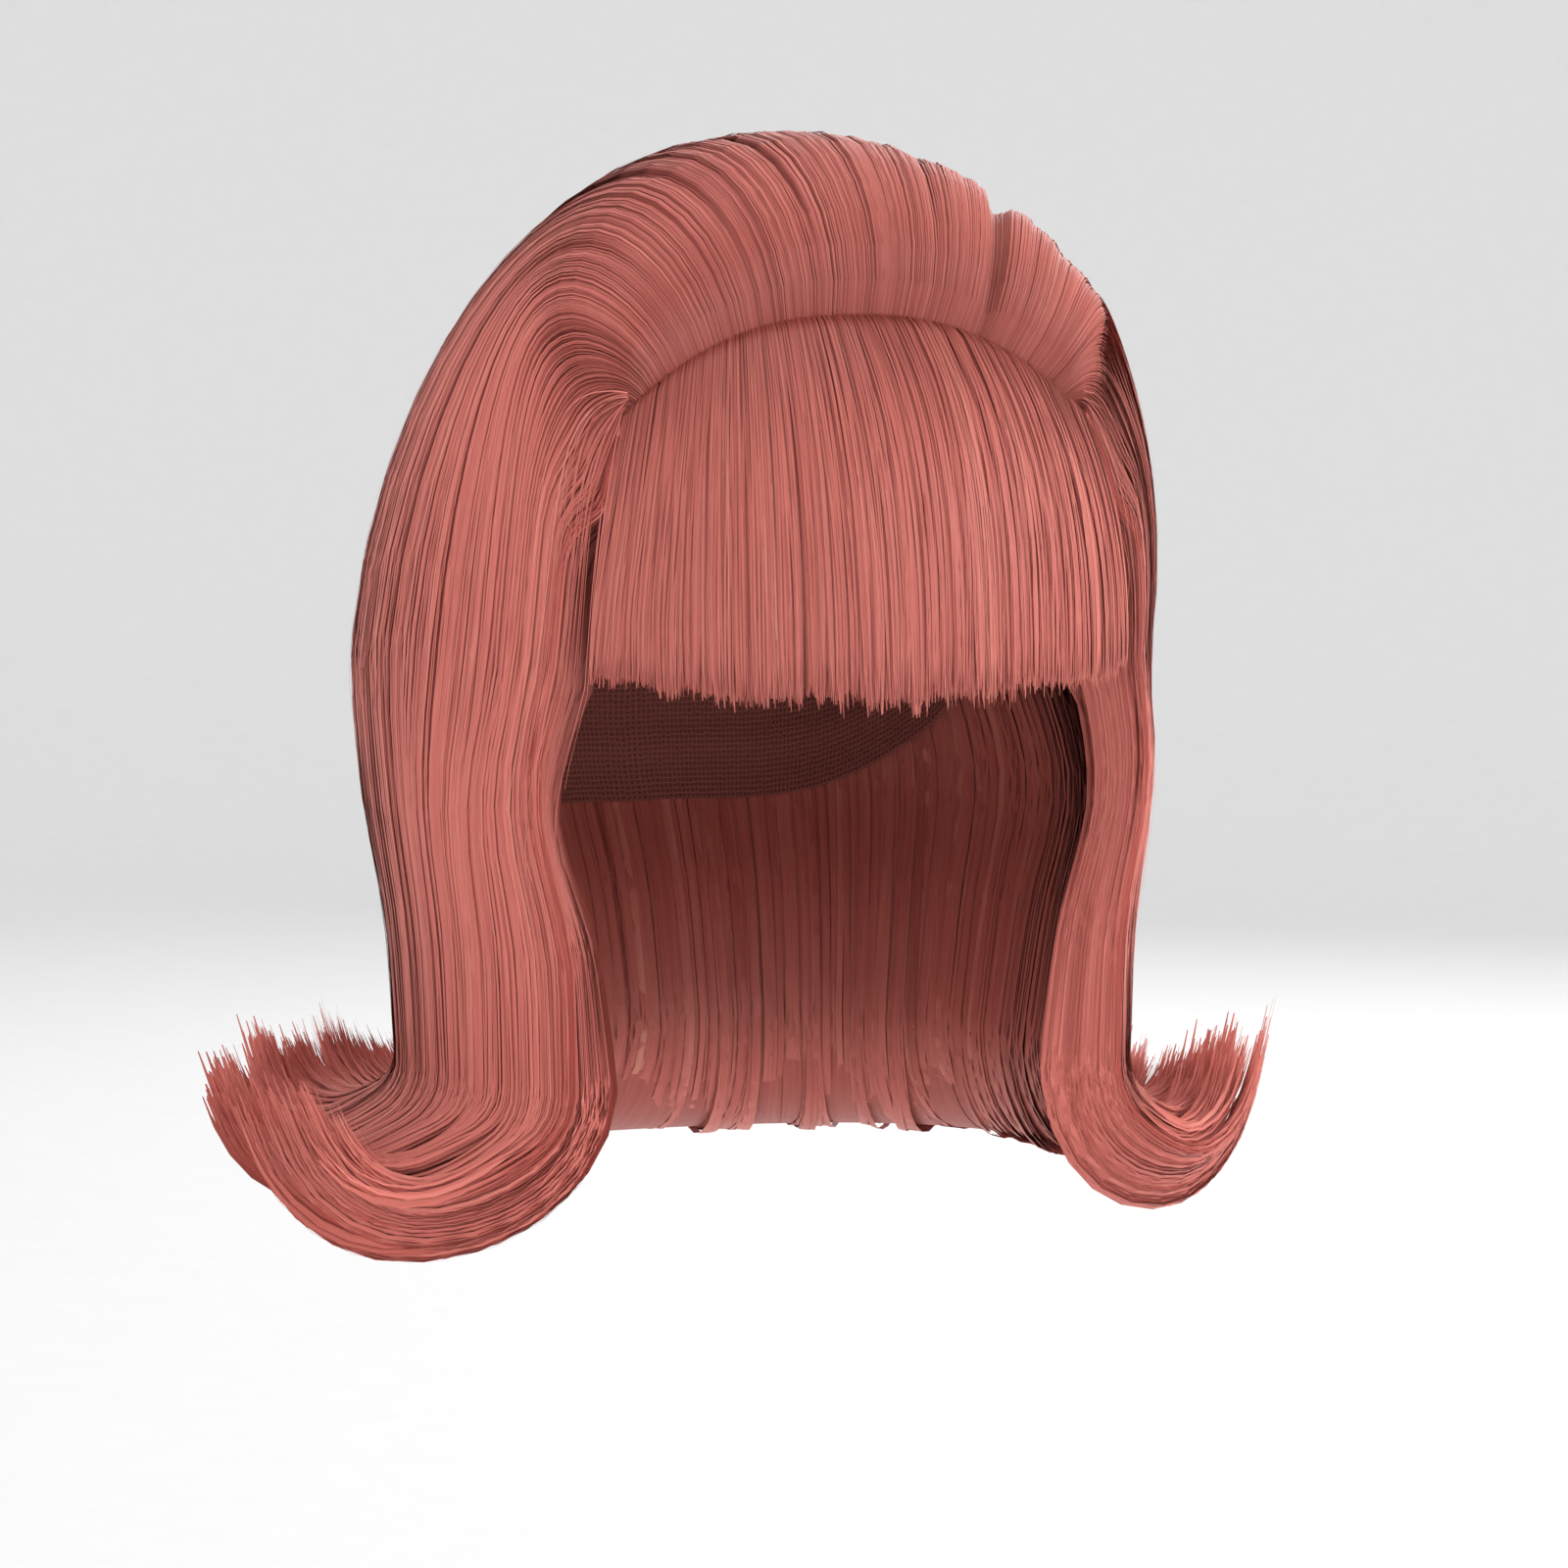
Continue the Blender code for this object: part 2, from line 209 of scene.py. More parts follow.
@dataclass(frozen=True)
class Falls:
    """The levels of the falls, as shares of the sizes that they follow.

    Each row holds a share of the falls' length, then the outer side, back, front and
    front corner's squareness, then the inner side, back and front.
    """

    length: float = 0.106
    inner_front_power: float = 3.4
    rows: tuple[tuple[float, ...], ...] = (
        (0.00, 1.000, 1.000, 1.00, 2.0, 1.04, 1.035, 0.83),
        (0.33, 0.970, 0.995, 0.83, 2.8, 1.18, 1.020, 0.72),
        (0.66, 0.925, 0.870, 0.78, 3.0, 1.08, 0.830, 0.70),
        (1.00, 0.905, 0.830, 0.76, 3.2, 1.00, 0.720, 0.70),
    )

    def at(self, drop: Array) -> list[Array]:
        """Read the table at levels between its rows.

        Args:
            drop: Shares of the falls' length, from the top.

        Returns:
            Each column after the first, on a smooth curve through its values.
        """
        table = np.array(self.rows)
        return [curve_through(table[:, 0], column, drop) for column in table.T[1:]]


@dataclass(frozen=True)
class Curl:
    """How the ends flip out."""

    radius: float = 0.018
    depth: float = 0.86
    closing: float = 0.80
    facing: float = 66.0
    arc: float = 158.0
    end: float = 176.0
    taper: float = 0.75
    taper_start: float = 50.0


@dataclass(frozen=True)
class Furrow:
    """A deeper furrow between two rolls of hair."""

    centre: float
    width: float
    depth: float
    start: float
    end: float
    drift: float = 0.0
    ease_in: float = 0.10
    ease_out: float = 0.45

    def sink(self, around: Array, along: Array) -> Array:
        """Give how far the furrow draws the hair in.

        Args:
            around: Places round the wig.
            along: Places along the hair.

        Returns:
            The furrow's depth there, in metres.
        """
        aside = (around - self.centre - self.drift * along) / self.width
        reach = smooth((along - self.start) / self.ease_in)
        reach = reach * smooth((self.end - along) / self.ease_out)
        return self.depth * np.exp(-(aside**2)) * reach


FURROWS = (
    Furrow(0.53, 0.030, 0.0050, -0.05, 1.00),
    Furrow(0.90, 0.024, 0.0026, -0.05, 0.80, -0.02),
    Furrow(0.30, 0.018, 0.0016, 0.02, 0.90),
    Furrow(-0.16, 0.016, 0.0016, 0.02, 1.10),
    Furrow(-0.44, 0.022, 0.0012, 0.05, 1.60, 0.02),
    Furrow(-0.71, 0.024, 0.0008, 0.10, 2.20, 0.01),
    Furrow(0.74, 0.024, 0.0010, 0.10, 2.20, -0.01),
)


@dataclass(frozen=True)
class Bouffant:
    """The wig's form: where any strand runs, from the parting to its tip."""

    head: HeadForm = field(default_factory=HeadForm)
    falls: Falls = field(default_factory=Falls)
    curl: Curl = field(default_factory=Curl)
    cap_wall: float = 0.002
    seat_gap: float = 0.0012
    side_hair: float = 0.0335
    back_hair: float = 0.023
    front_hair: float = 0.012
    crown_hair: float = 0.041
    widest_drop: float = 0.105
    lean: float = 0.022
    parting_half_width: float = 0.066
    parting_front: float = 0.072
    parting_drop: float = 0.0075
    parting_end_drop: float = 0.033
    parting_bow: float = 2.4
    front_edge: float = 135.0
    roll: float = 0.24
    roll_edge: float = 0.16
    roll_swell: float = 0.06
    roll_swell_place: float = 0.30
    sweep_pull: float = 0.80
    drop_pull: float = 0.75
    fringe_swell: float = 0.4
    furrows: tuple[Furrow, ...] = FURROWS

    @property
    def half_width(self) -> float:
        """The bouffant's half-width at its widest level."""
        return self.head.half_width + self.side_hair

    @property
    def front(self) -> float:
        """How far the bouffant reaches forwards."""
        return self.head.front + self.front_hair

    @property
    def back(self) -> float:
        """How far the bouffant reaches back."""
        return self.head.back + self.back_hair

    @property
    def rise(self) -> float:
        """The bouffant's height above its widest level."""
        return self.widest_drop + self.crown_hair

    def lean_at(self, height: Array) -> Array:
        """How far the bouffant leans forwards at a share of its height."""
        return self.lean * np.sin(0.5 * math.pi * np.clip(height, 0.0, None))

    def dome(self, place: Array) -> Array:
        """Carry places in the unit dome to the bouffant's outer form."""
        depth = np.where(place[..., 1] > 0.0, self.back, self.front)
        return stack(
            self.half_width * place[..., 0],
            depth * place[..., 1] - self.lean_at(place[..., 2]),
            -self.widest_drop + self.rise * place[..., 2],
        )

    def parting(self, across: Array) -> Array:
        """Give the parting's places in the unit dome.

        Args:
            across: Places from -1 to 1 along the parting.

        Returns:
            The points.
        """
        drop = (self.parting_end_drop - self.parting_drop) * np.abs(across) ** self.parting_bow
        height = (self.widest_drop - self.parting_drop - drop) / self.rise
        y = (self.lean_at(height) - self.parting_front) / self.front
        return stack(self.parting_half_width * across / self.half_width, y, height)

    def sweep(self, around: Array, travel: Array) -> Array:
        """Give the outer form of the swept-back hair.

        Args:
            around: Places from one front edge, -1, round the back, 0, to the other, 1.
            travel: Shares of the way from the parting to the widest level.

        Returns:
            The points.
        """
        start = self.parting(around)
        length = np.linalg.norm(start, axis=-1, keepdims=True)
        near = start / length
        step = 0.01
        tangent = self.parting(around + step) - self.parting(around - step)
        away = unit(np.cross(near, tangent))
        turn = np.radians(self.front_edge * around)
        end = stack(np.sin(turn), np.cos(turn), np.zeros_like(turn))
        pull = (1.0 - np.abs(around) ** 6)[..., None]
        first = near + away * self.sweep_pull * pull + (end - near) * (1.0 - pull) / 3.0
        lift = np.array((0.0, 0.0, self.drop_pull))
        last = end + lift * pull + (near - end) * (1.0 - pull) / 3.0
        left, gone = (1.0 - travel)[..., None], travel[..., None]
        way = unit(
            near * left**3
            + first * 3.0 * left**2 * gone
            + last * 3.0 * left * gone**2
            + end * gone**3
        )
        roll = np.sqrt(1.0 - (1.0 - np.clip(travel / self.roll, 0.0, 1.0)) ** 2)
        edge = smooth((1.0 - np.abs(around)) / self.roll_edge)
        rise = edge * roll + (1.0 - edge) * travel
        fullest = math.log(0.5) / math.log(self.roll_swell_place)
        swell = self.roll_swell * edge * smooth(np.abs(around))
        swell = swell * np.sin(math.pi * travel**fullest)
        reach = length[..., 0] + (1.0 - length[..., 0]) * rise + swell
        return self.dome(way * reach[..., None])

    def fringe(self, across: Array, travel: Array) -> Array:
        """Give the outer form of the fringe.

        Args:
            across: Places from -1 to 1 across the forehead.
            travel: Shares of the way from the parting down to the widest level.

        Returns:
            The points.
        """
        start = self.parting(across)
        length = np.linalg.norm(start, axis=-1, keepdims=True)
        near = start / length
        turn = np.radians(180.0 - (180.0 - self.front_edge) * across)
        end = stack(np.sin(turn), np.cos(turn), np.zeros_like(turn))
        way = unit(near * (1.0 - travel)[..., None] + end * travel[..., None])
        swell = 1.0 + self.fringe_swell * (1.0 - np.clip(across, -1.0, 1.0) ** 2)
        reach = length[..., 0] + (1.0 - length[..., 0]) * travel**swell
        return self.dome(way * reach[..., None])

    def ring(self, around: Array, side: Array, back: Array, front: Array, power: Array) -> Array:
        """Give points of level rings round the neck, on the ground plane.

        Args:
            around: Places from -1 to 1 round the back.
            side: Half-widths.
            back: Reaches backwards.
            front: Reaches forwards.
            power: How square the front corners are.

        Returns:
            The points, with no height.
        """
        turn = np.radians(self.front_edge * around)
        across, along = np.sin(turn), np.cos(turn)
        power = np.where(along >= 0.0, 2.0, power)
        reach = (np.abs(across) ** power + np.abs(along) ** power) ** (-1.0 / power)
        depth = np.where(along >= 0.0, back, front)
        return stack(side * across * reach, depth * along * reach, np.zeros_like(reach))

    def falls_pair(self, around: Array, drop: Array) -> tuple[Array, Array]:
        """Give the outer and inner form of the falls.

        Args:
            around: Places from -1 to 1 round the back.
            drop: Shares of the way down the falls.

        Returns:
            The outer and the inner points.
        """
        row = self.falls.at(drop)
        outer = self.ring(
            around, self.half_width * row[0], self.back * row[1], self.front * row[2], row[3]
        )
        inner = self.ring(
            around,
            self.head.half_width * row[4],
            self.head.back * row[5],
            self.head.front * row[6],
            np.full_like(row[6], self.falls.inner_front_power),
        )
        height = -self.widest_drop - self.falls.length * drop
        outer[..., 2] = height
        inner[..., 2] = height
        return outer, inner

    def curl_way(self, start: Array, outward: Array) -> Array:
        """Measure the way to the ring that all the ends curl round.

        Args:
            start: Where the strands set off.
            outward: Level unit vectors, the way that each goes out.

        Returns:
            The distances.
        """
        last = self.falls.rows[-1]
        size = np.array(
            (self.half_width * last[1] + self.curl.radius, self.back * last[2] + self.curl.radius)
        )
        place = start[..., :2] / size
        step = outward[..., :2] / size
        square = (step**2).sum(-1)
        half = (place * step).sum(-1)
        rest = (place**2).sum(-1) - 1.0
        return (np.sqrt(np.maximum(half * half - square * rest, 0.0)) - half) / square

    def furrowed(self, around: Array, along: Array) -> Array:
        """Give how far the hair is drawn in where the deeper furrows run.

        Args:
            around: Places round the wig.
            along: Places along the hair.

        Returns:
            The depth there, in metres.
        """
        sunk = np.zeros(np.broadcast(around, along).shape)
        for furrow in self.furrows:
            sunk = sunk + furrow.sink(around, along)
        return sunk

    def strands(
        self,
        around: Array,
        along: Array,
        sink: Array | float = 0.0,
        depth: Array | float = 0.0,
        spread: Array | float = 1.0,
        swing: Array | float = 0.0,
    ) -> Array:
        """Give the places of the swept-back hair.

        Args:
            around: Places from -1 to 1 round the back.
            along: 0 at the parting, 1 at the widest level, 2 where the flip starts and
                3 at the end of the flip.
            sink: How far inside the outer form, in metres.
            depth: Shares of the way from there to the inner form.
            spread: The size of a strand's own curl, as a share of the flip's.
            swing: Degrees that a strand's own curl is turned sideways.

        Returns:
            The points.
        """
        around, along, sink, depth = np.broadcast_arrays(around, along, sink, depth)
        travel = np.clip(along, 0.0, 1.0)
        drop = np.clip(along - 1.0, 0.0, 1.0)
        outer_top = self.sweep(around, travel)
        inner_top = self.head.seat(outer_top, self.cap_wall + self.seat_gap)
        outer_fall, inner_fall = self.falls_pair(around, drop)
        high = (along <= 1.0)[..., None]
        outer = np.where(high, outer_top, outer_fall)
        inner = np.where(high, inner_top, inner_fall)
        thick = np.linalg.norm(inner - outer, axis=-1)
        inset = np.clip((sink + self.furrowed(around, along)) / thick, -0.1, 0.95)
        share = inset + (1.0 - inset) * depth
        start = outer + (inner - outer) * share[..., None]
        flip = np.clip(along - 2.0, 0.0, None)
        facing = np.radians(self.curl.facing * np.sin(0.5 * math.pi * around))
        outward = stack(np.sin(facing), np.cos(facing), np.zeros_like(facing))
        way = self.curl_way(start, outward)
        inner_way = self.curl_way(inner, outward)
        facing = facing + np.radians(swing * smooth(2.0 * flip))
        outward = stack(np.sin(facing), np.cos(facing), np.zeros_like(facing))
        turn = self.curl.end * flip
        taper = smooth((turn - self.curl.taper_start) / (self.curl.end - self.curl.taper_start))
        radius = way + (inner_way - way) * taper * self.curl.taper * (1.0 - depth)
        radius = radius * (1.0 + (spread - 1.0) * smooth(turn / 90.0))
        bend = np.radians(np.minimum(turn, self.curl.arc))
        straight = np.radians(np.maximum(turn - self.curl.arc, 0.0))
        out = -np.cos(bend) + straight * np.sin(bend)
        out = np.where(out > 0.0, out * self.curl.closing, out)
        up = -np.sin(bend) - straight * np.cos(bend)
        flipped = flip > 0.0
        out = np.where(flipped, way + radius * out, 0.0)
        up = np.where(flipped, self.curl.depth * radius * up, 0.0)
        return start + outward * out[..., None] + stack(0.0 * up, 0.0 * up, up)


@dataclass
class StrandMesh:
    """Gathers strips and sheets, and makes one mesh of them."""

    points: list[Array] = field(default_factory=list)
    quads: list[NDArray[np.int32]] = field(default_factory=list)
    places: list[Array] = field(default_factory=list)
    tones: list[Array] = field(default_factory=list)
    count: int = 0
    lane_shift: float = 7.3

    def add_grid(self, points: Array, places: Array, tones: Array | Colour = WHITE) -> None:
        """Add grids of points, each joined into a sheet.

        Args:
            points: Points, as sheets by rows by columns.
            places: Each point's place on the surface, across and along, in metres.
            tones: Each point's tone and light, as shades gives them.
        """
        sheets, rows, columns = points.shape[:3]
        index = np.arange(sheets * rows * columns).reshape(sheets, rows, columns) + self.count
        corners = (index[:, :-1, :-1], index[:, 1:, :-1], index[:, 1:, 1:], index[:, :-1, 1:])
        self.quads.append(np.stack(corners, axis=-1).reshape(-1, 4).astype(np.int32))
        self.points.append(points.reshape(-1, 3))
        self.places.append(np.broadcast_to(places, points.shape[:3] + (2,)).reshape(-1, 2))
        self.tones.append(np.broadcast_to(tones, points.shape[:3] + (4,)).reshape(-1, 4))
        self.count += sheets * rows * columns

    def add_strands(
        self, line: Array, facing: Array, width: Array, crown: float, lanes: int, tones: Array,
        lane_place: Array,
    ) -> None:
        """Add strands: curved strips along lines of points.

        Args:
            line: Points, as strands by rows.
            facing: The way each point's strip faces.
            width: The strips' widths.
            crown: How far a strip's middle stands up, as a share of its width.
            lanes: How many points across a strip has.
            tones: Each point's tone and light, as shades gives them.
            lane_place: Each strand's place across the hair, in metres.
        """
        tangent = unit(np.gradient(line, axis=1))
        across = unit(np.cross(tangent, facing))
        up = np.cross(across, tangent)
        offset = np.linspace(-0.5, 0.5, lanes)
        bow = crown * (1.0 - 4.0 * offset**2)
        strip = width[..., None, None]
        points = (
            line[:, :, None, :]
            + across[:, :, None, :] * strip * offset[None, None, :, None]
            + up[:, :, None, :] * strip * bow[None, None, :, None]
        )
        steps = np.linalg.norm(np.diff(line, axis=1), axis=-1)
        length = np.concatenate((np.zeros((len(line), 1)), np.cumsum(steps, axis=1)), axis=1)
        places = np.empty(points.shape[:3] + (2,))
        places[..., 0] = lane_place[:, None, None] + width[..., None] * offset
        places[..., 1] = length[..., None] + self.lane_shift * lane_place[:, None, None]
        self.add_grid(points, places, tones[:, :, None, :])

    def build(self, name: str, material: bpy.types.Material) -> bpy.types.Object:
        """Make the mesh's object.

        Args:
            name: The object's name.
            material: The finish of all of it.

        Returns:
            The object, linked to the scene.
        """
        points = np.concatenate(self.points)
        quads = np.concatenate(self.quads)
        mesh = bpy.data.meshes.new(name)
        mesh.vertices.add(len(points))
        mesh.vertices.foreach_set("co", points.astype(np.float32).ravel())
        mesh.loops.add(quads.size)
        mesh.loops.foreach_set("vertex_index", quads.ravel())
        mesh.polygons.add(len(quads))
        mesh.polygons.foreach_set("loop_start", np.arange(0, quads.size, 4, dtype=np.int32))
        mesh.update(calc_edges=True)
        places = np.concatenate(self.places)[quads.ravel()]
        flow = mesh.uv_layers.new(name="flow")
        flow.data.foreach_set("uv", places.astype(np.float32).ravel())
        tone = mesh.attributes.new("strand", "FLOAT_COLOR", "POINT")
        tone.data.foreach_set("color", np.concatenate(self.tones).astype(np.float32).ravel())
        mesh.shade_smooth()
        mesh.materials.append(material)
        made = bpy.data.objects.new(name, mesh)
        bpy.context.scene.collection.objects.link(made)
        log.info("%s: %d triangles", name, 2 * len(quads))
        return made


class NodeTree:
    """Short calls for building a material's nodes."""

    def __init__(self, name: str) -> None:
        """Start a new material with a Principled shader.

        Args:
            name: The material's name.
        """
        self.material = bpy.data.materials.new(name)
        self.material.use_nodes = True
        self.tree = self.material.node_tree
        self.shader = self.tree.nodes["Principled BSDF"]

    def add(self, kind: str, inputs: dict | None = None, **settings: object) -> bpy.types.Node:
        """Add a node.

        Args:
            kind: The node's type.
            inputs: What goes into its sockets: values, or other nodes' sockets.
            **settings: The node's own settings.

        Returns:
            The node.
        """
        node = self.tree.nodes.new(kind)
        for setting, value in settings.items():
            setattr(node, setting, value)
        for socket, value in (inputs or {}).items():
            self.put(node.inputs[socket], value)
        return node

    def put(self, socket: bpy.types.NodeSocket, value: object) -> None:
        """Set a socket to a value, or link another socket to it.

        Args:
            socket: The socket to fill.
            value: A value, or another node's socket.
        """
        if isinstance(value, bpy.types.NodeSocket):
            self.tree.links.new(value, socket)
        else:
            socket.default_value = value

    def mix(self, share: object, first: object, second: object, blend: str = "MIX") -> object:
        """Mix two colours.

        Args:
            share: How much of the second.
            first: The first colour.
            second: The second colour.
            blend: How they mix.

        Returns:
            The mixed colour's socket.
        """
        node = self.add("ShaderNodeMix", data_type="RGBA", blend_type=blend)
        self.put(node.inputs[0], share)
        self.put(node.inputs[6], first)
        self.put(node.inputs[7], second)
        return node.outputs[2]

    def maths(self, operation: str, *values: object) -> object:
        """Work out a number from others.

        Args:
            operation: What to do with them.
            *values: Numbers, or other nodes' sockets.

        Returns:
            The number's socket.
        """
        node = self.add("ShaderNodeMath", operation=operation)
        for place, value in enumerate(values):
            self.put(node.inputs[place], value)
        return node.outputs[0]


@dataclass(frozen=True)
class HairFinish:
    """Combed synthetic hair: fine fibres in slightly different pinks, darkened by painted shade.
    """

    pinks: tuple[tuple[float, Colour], ...] = (
        (0.22, (0.27, 0.046, 0.036, 1.0)),
        (0.50, (0.50, 0.118, 0.094, 1.0)),
        (0.70, (0.60, 0.168, 0.134, 1.0)),
        (0.92, (0.72, 0.300, 0.225, 1.0)),
    )
    shadow: Colour = (0.30, 0.16, 0.13, 1.0)
    strand_weight: float = 0.52
    fibre_weight: float = 0.34
    streak_weight: float = 0.30
    fibre: tuple[float, float] = (0.00022, 0.018)
    streak: tuple[float, float] = (0.0016, 0.060)
    bump: float = 0.00012
    bump_strength: float = 0.6
    roughness: float = 0.52
    anisotropy: float = 0.45
    specular: float = 0.30
    sheen: float = 0.06
    sheen_roughness: float = 0.35
    sheen_tint: Colour = (1.0, 0.72, 0.66, 1.0)

    def make(self, name: str) -> bpy.types.Material:
        """Make the material.

        Args:
            name: Its name.

        Returns:
            The material.
        """
        nodes = NodeTree(name)
        flow = nodes.add("ShaderNodeUVMap", uv_map="flow").outputs[0]
        strand = nodes.add("ShaderNodeAttribute", attribute_name="strand").outputs["Color"]
        parts = nodes.add("ShaderNodeSeparateColor", {"Color": strand}).outputs
        fibre = self.noise(nodes, flow, *self.fibre)
        streak = self.noise(nodes, flow, *self.streak)
        tone = nodes.maths("MULTIPLY", parts["Red"], self.strand_weight)
        tone = nodes.maths("MULTIPLY_ADD", fibre, self.fibre_weight, tone)
        tone = nodes.maths("MULTIPLY_ADD", streak, self.streak_weight, tone)
        ramp = nodes.add("ShaderNodeValToRGB", {"Fac": tone})
        stops = ramp.color_ramp.elements
        stops[0].position, stops[0].color = self.pinks[0]
        stops[1].position, stops[1].color = self.pinks[-1]
        for position, colour in self.pinks[1:-1]:
            stops.new(position).color = colour
        # Painted shade: the green of the strand colour says how much light reaches each point, and
        # mixes the pinks towards the shadow colour.
        shaded = nodes.mix(parts["Green"], self.shadow, WHITE)
        colour = nodes.mix(1.0, ramp.outputs[0], shaded, "MULTIPLY")
        nodes.put(nodes.shader.inputs["Base Color"], colour)
        bump = nodes.add(
            "ShaderNodeBump",
            {"Height": fibre, "Strength": self.bump_strength, "Distance": self.bump},
        )
        nodes.put(nodes.shader.inputs["Normal"], bump.outputs[0])
        tangent = nodes.add("ShaderNodeTangent", direction_type="UV_MAP", uv_map="flow")
        nodes.put(nodes.shader.inputs["Tangent"], tangent.outputs[0])
        nodes.shader.inputs["Roughness"].default_value = self.roughness
        nodes.shader.inputs["Anisotropic"].default_value = self.anisotropy
        nodes.shader.inputs["Specular IOR Level"].default_value = self.specular
        nodes.shader.inputs["Sheen Weight"].default_value = self.sheen
        nodes.shader.inputs["Sheen Roughness"].default_value = self.sheen_roughness
        nodes.shader.inputs["Sheen Tint"].default_value = self.sheen_tint
        return nodes.material

    def noise(self, nodes: NodeTree, flow: object, across: float, along: float) -> object:
        """Make noise that is drawn out along the hair.

        Args:
            nodes: The material's nodes.
            flow: The hair's own coordinates, in metres.
            across: The noise's size across the hair.
            along: Its size along the hair.

        Returns:
            The noise's socket.
        """
        scaled = nodes.add(
            "ShaderNodeMapping", {"Vector": flow, "Scale": (1.0 / across, 1.0 / along, 1.0)}
        )
        noise = nodes.add(
            "ShaderNodeTexNoise",
            {"Vector": scaled.outputs[0], "Scale": 1.0, "Detail": 2.0, "Roughness": 0.55},
            noise_dimensions="2D",
        )
        return noise.outputs[0]


@dataclass(frozen=True)
class CapFinish:
    """The cap's net and sewn tracks."""

    net: Colour = (0.115, 0.032, 0.026, 1.0)
    thread: Colour = (0.24, 0.070, 0.055, 1.0)
    roughness: float = 0.85
    specular: float = 0.2
    mesh: float = 0.0016
    unevenness: float = 0.25
    thread_fineness: float = 3.0
    thread_height: float = 0.0003

    def make(self, name: str) -> bpy.types.Material:
        """Make the material.

        Args:
            name: Its name.

        Returns:
            The material.
        """
        nodes = NodeTree(name)
        flow = nodes.add("ShaderNodeUVMap", uv_map="flow").outputs[0]
        scaled = nodes.add(
            "ShaderNodeMapping", {"Vector": flow, "Scale": (1.0 / self.mesh, 1.0 / self.mesh, 1.0)}
        )
        cells = nodes.add(
            "ShaderNodeTexVoronoi",
            {"Vector": scaled.outputs[0], "Scale": 1.0, "Randomness": self.unevenness},
            voronoi_dimensions="2D",
            feature="DISTANCE_TO_EDGE",
        ).outputs[0]
        holes = nodes.maths("MULTIPLY", cells, self.thread_fineness)
        threads = nodes.maths("SUBTRACT", 1.0, holes)
        threads = nodes.add("ShaderNodeClamp", {"Value": threads}).outputs[0]
        nodes.put(
            nodes.shader.inputs["Base Color"], nodes.mix(threads, self.net, self.thread)
        )
        bump = nodes.add(
            "ShaderNodeBump", {"Height": threads, "Strength": 0.8, "Distance": self.thread_height}
        )
        nodes.put(nodes.shader.inputs["Normal"], bump.outputs[0])
        nodes.shader.inputs["Roughness"].default_value = self.roughness
        nodes.shader.inputs["Specular IOR Level"].default_value = self.specular
        return nodes.material


@dataclass(frozen=True)
class Comb:
    """How the hair is combed, and how its strands vary.

    Sideways moves are shares of the way round the wig, sinks and bows are metres, and
    each pair is a range. Past bare_from the flip uncovers the deeper strands, and their
    painted shade fades so they are as light as the rest. A lane is where a strand reads the
    finish's streaks.
    """

    settled: float = 0.45
    pinch: float = 0.06
    pinch_wave: float = 0.08
    drift: float = 0.0045
    drift_waves: float = 13.0
    drift_pace: float = 2.1
    lock_wave: float = 0.0012
    wisp_wave: float = 0.0008
    own_wave: float = 0.0022
    own_pace: tuple[float, float] = (1.0, 3.2)
    own_phase: tuple[float, float] = (0.0, 6.28)
    ridges: tuple[tuple[float, float, float], ...] = (
        (0.42, 83.0, 1.3), (0.33, 149.0, 4.0), (0.25, 263.0, 2.2),
    )
    ridge_height: float = 0.0005
    ridge_start: float = 0.15
    root_sink: float = 0.0012
    fly_bow: float = 0.0012
    fly_start: tuple[float, float] = (0.05, 0.55)
    fly_length: tuple[float, float] = (0.35, 1.0)
    late_start: tuple[float, float] = (-0.05, 0.10)
    widest_curl: float = 1.02
    swing: float = 3.0
    tilt: float = 0.08
    crown: float = 0.20
    root_width: float = 0.40
    tip_width: float = 0.15
    width_range: tuple[float, float] = (0.75, 1.25)
    usual_tone: float = 0.5
    clump_tone: float = 0.08
    own_tone: float = 0.07
    odd_share: float = 0.05
    odd_dark: float = -0.24
    odd_pale: float = 0.24
    bare_from: float = 1.85
    bare_over: float = 0.60
    lane: tuple[float, float] = (0.0, 3.0)


@dataclass(frozen=True)
class RootShade:
    """How dark the parting's painted shade makes the hair, and how it grows lighter in two steps.
    """

    root: float
    near: float
    near_over: float
    far: float
    far_over: float

    def at(self, along: Array) -> Array:
        """Give how light the painted shade leaves the hair at places along it."""
        near, far = smooth(along / self.near_over), smooth(along / self.far_over)
        return self.root + self.near * near + self.far * far


@dataclass(frozen=True)
class StrandPlan:
    """One layer of strands: how many, how wide and how deep they are, and how much painted shade
    darkens them.
    """

    layer: Layer
    density: float
    width: float
    lanes: int
    sink: tuple[float, float]
    light: float
    depth: tuple[float, float] = (0.0, 0.0)
    start: float = 0.0
    end: float = 2.93
    rows: tuple[int, int, int] = (17, 8, 13)

    def stations(self) -> Array:
        """Give where a strand's points lie, crowded at the roll and in the flip.

        Returns:
            Places along the hair.
        """
        dome, fall, flip = self.rows
        top = np.linspace(0.0, 1.0, dome, endpoint=not fall) ** 1.5
        falls = 1.0 + np.linspace(0.0, 1.0, fall, endpoint=False)
        places = np.concatenate((top, falls, 2.0 + np.linspace(0.0, 1.0, flip)))
        return places[places >= self.start - 0.2]


@dataclass(frozen=True)
class ClumpRanges:
    """How much clumps differ: each pair is a range, and the rest are shares of a width."""

    uneven_cuts: float = 0.35
    off_centre: float = 0.15
    length: tuple[float, float] = (-0.13, 0.05)
    spread: tuple[float, float] = (0.84, 1.06)
    swing: tuple[float, float] = (-10.0, 10.0)
    tone: tuple[float, float] = (-1.0, 1.0)
    pace: tuple[float, float] = (1.2, 2.6)


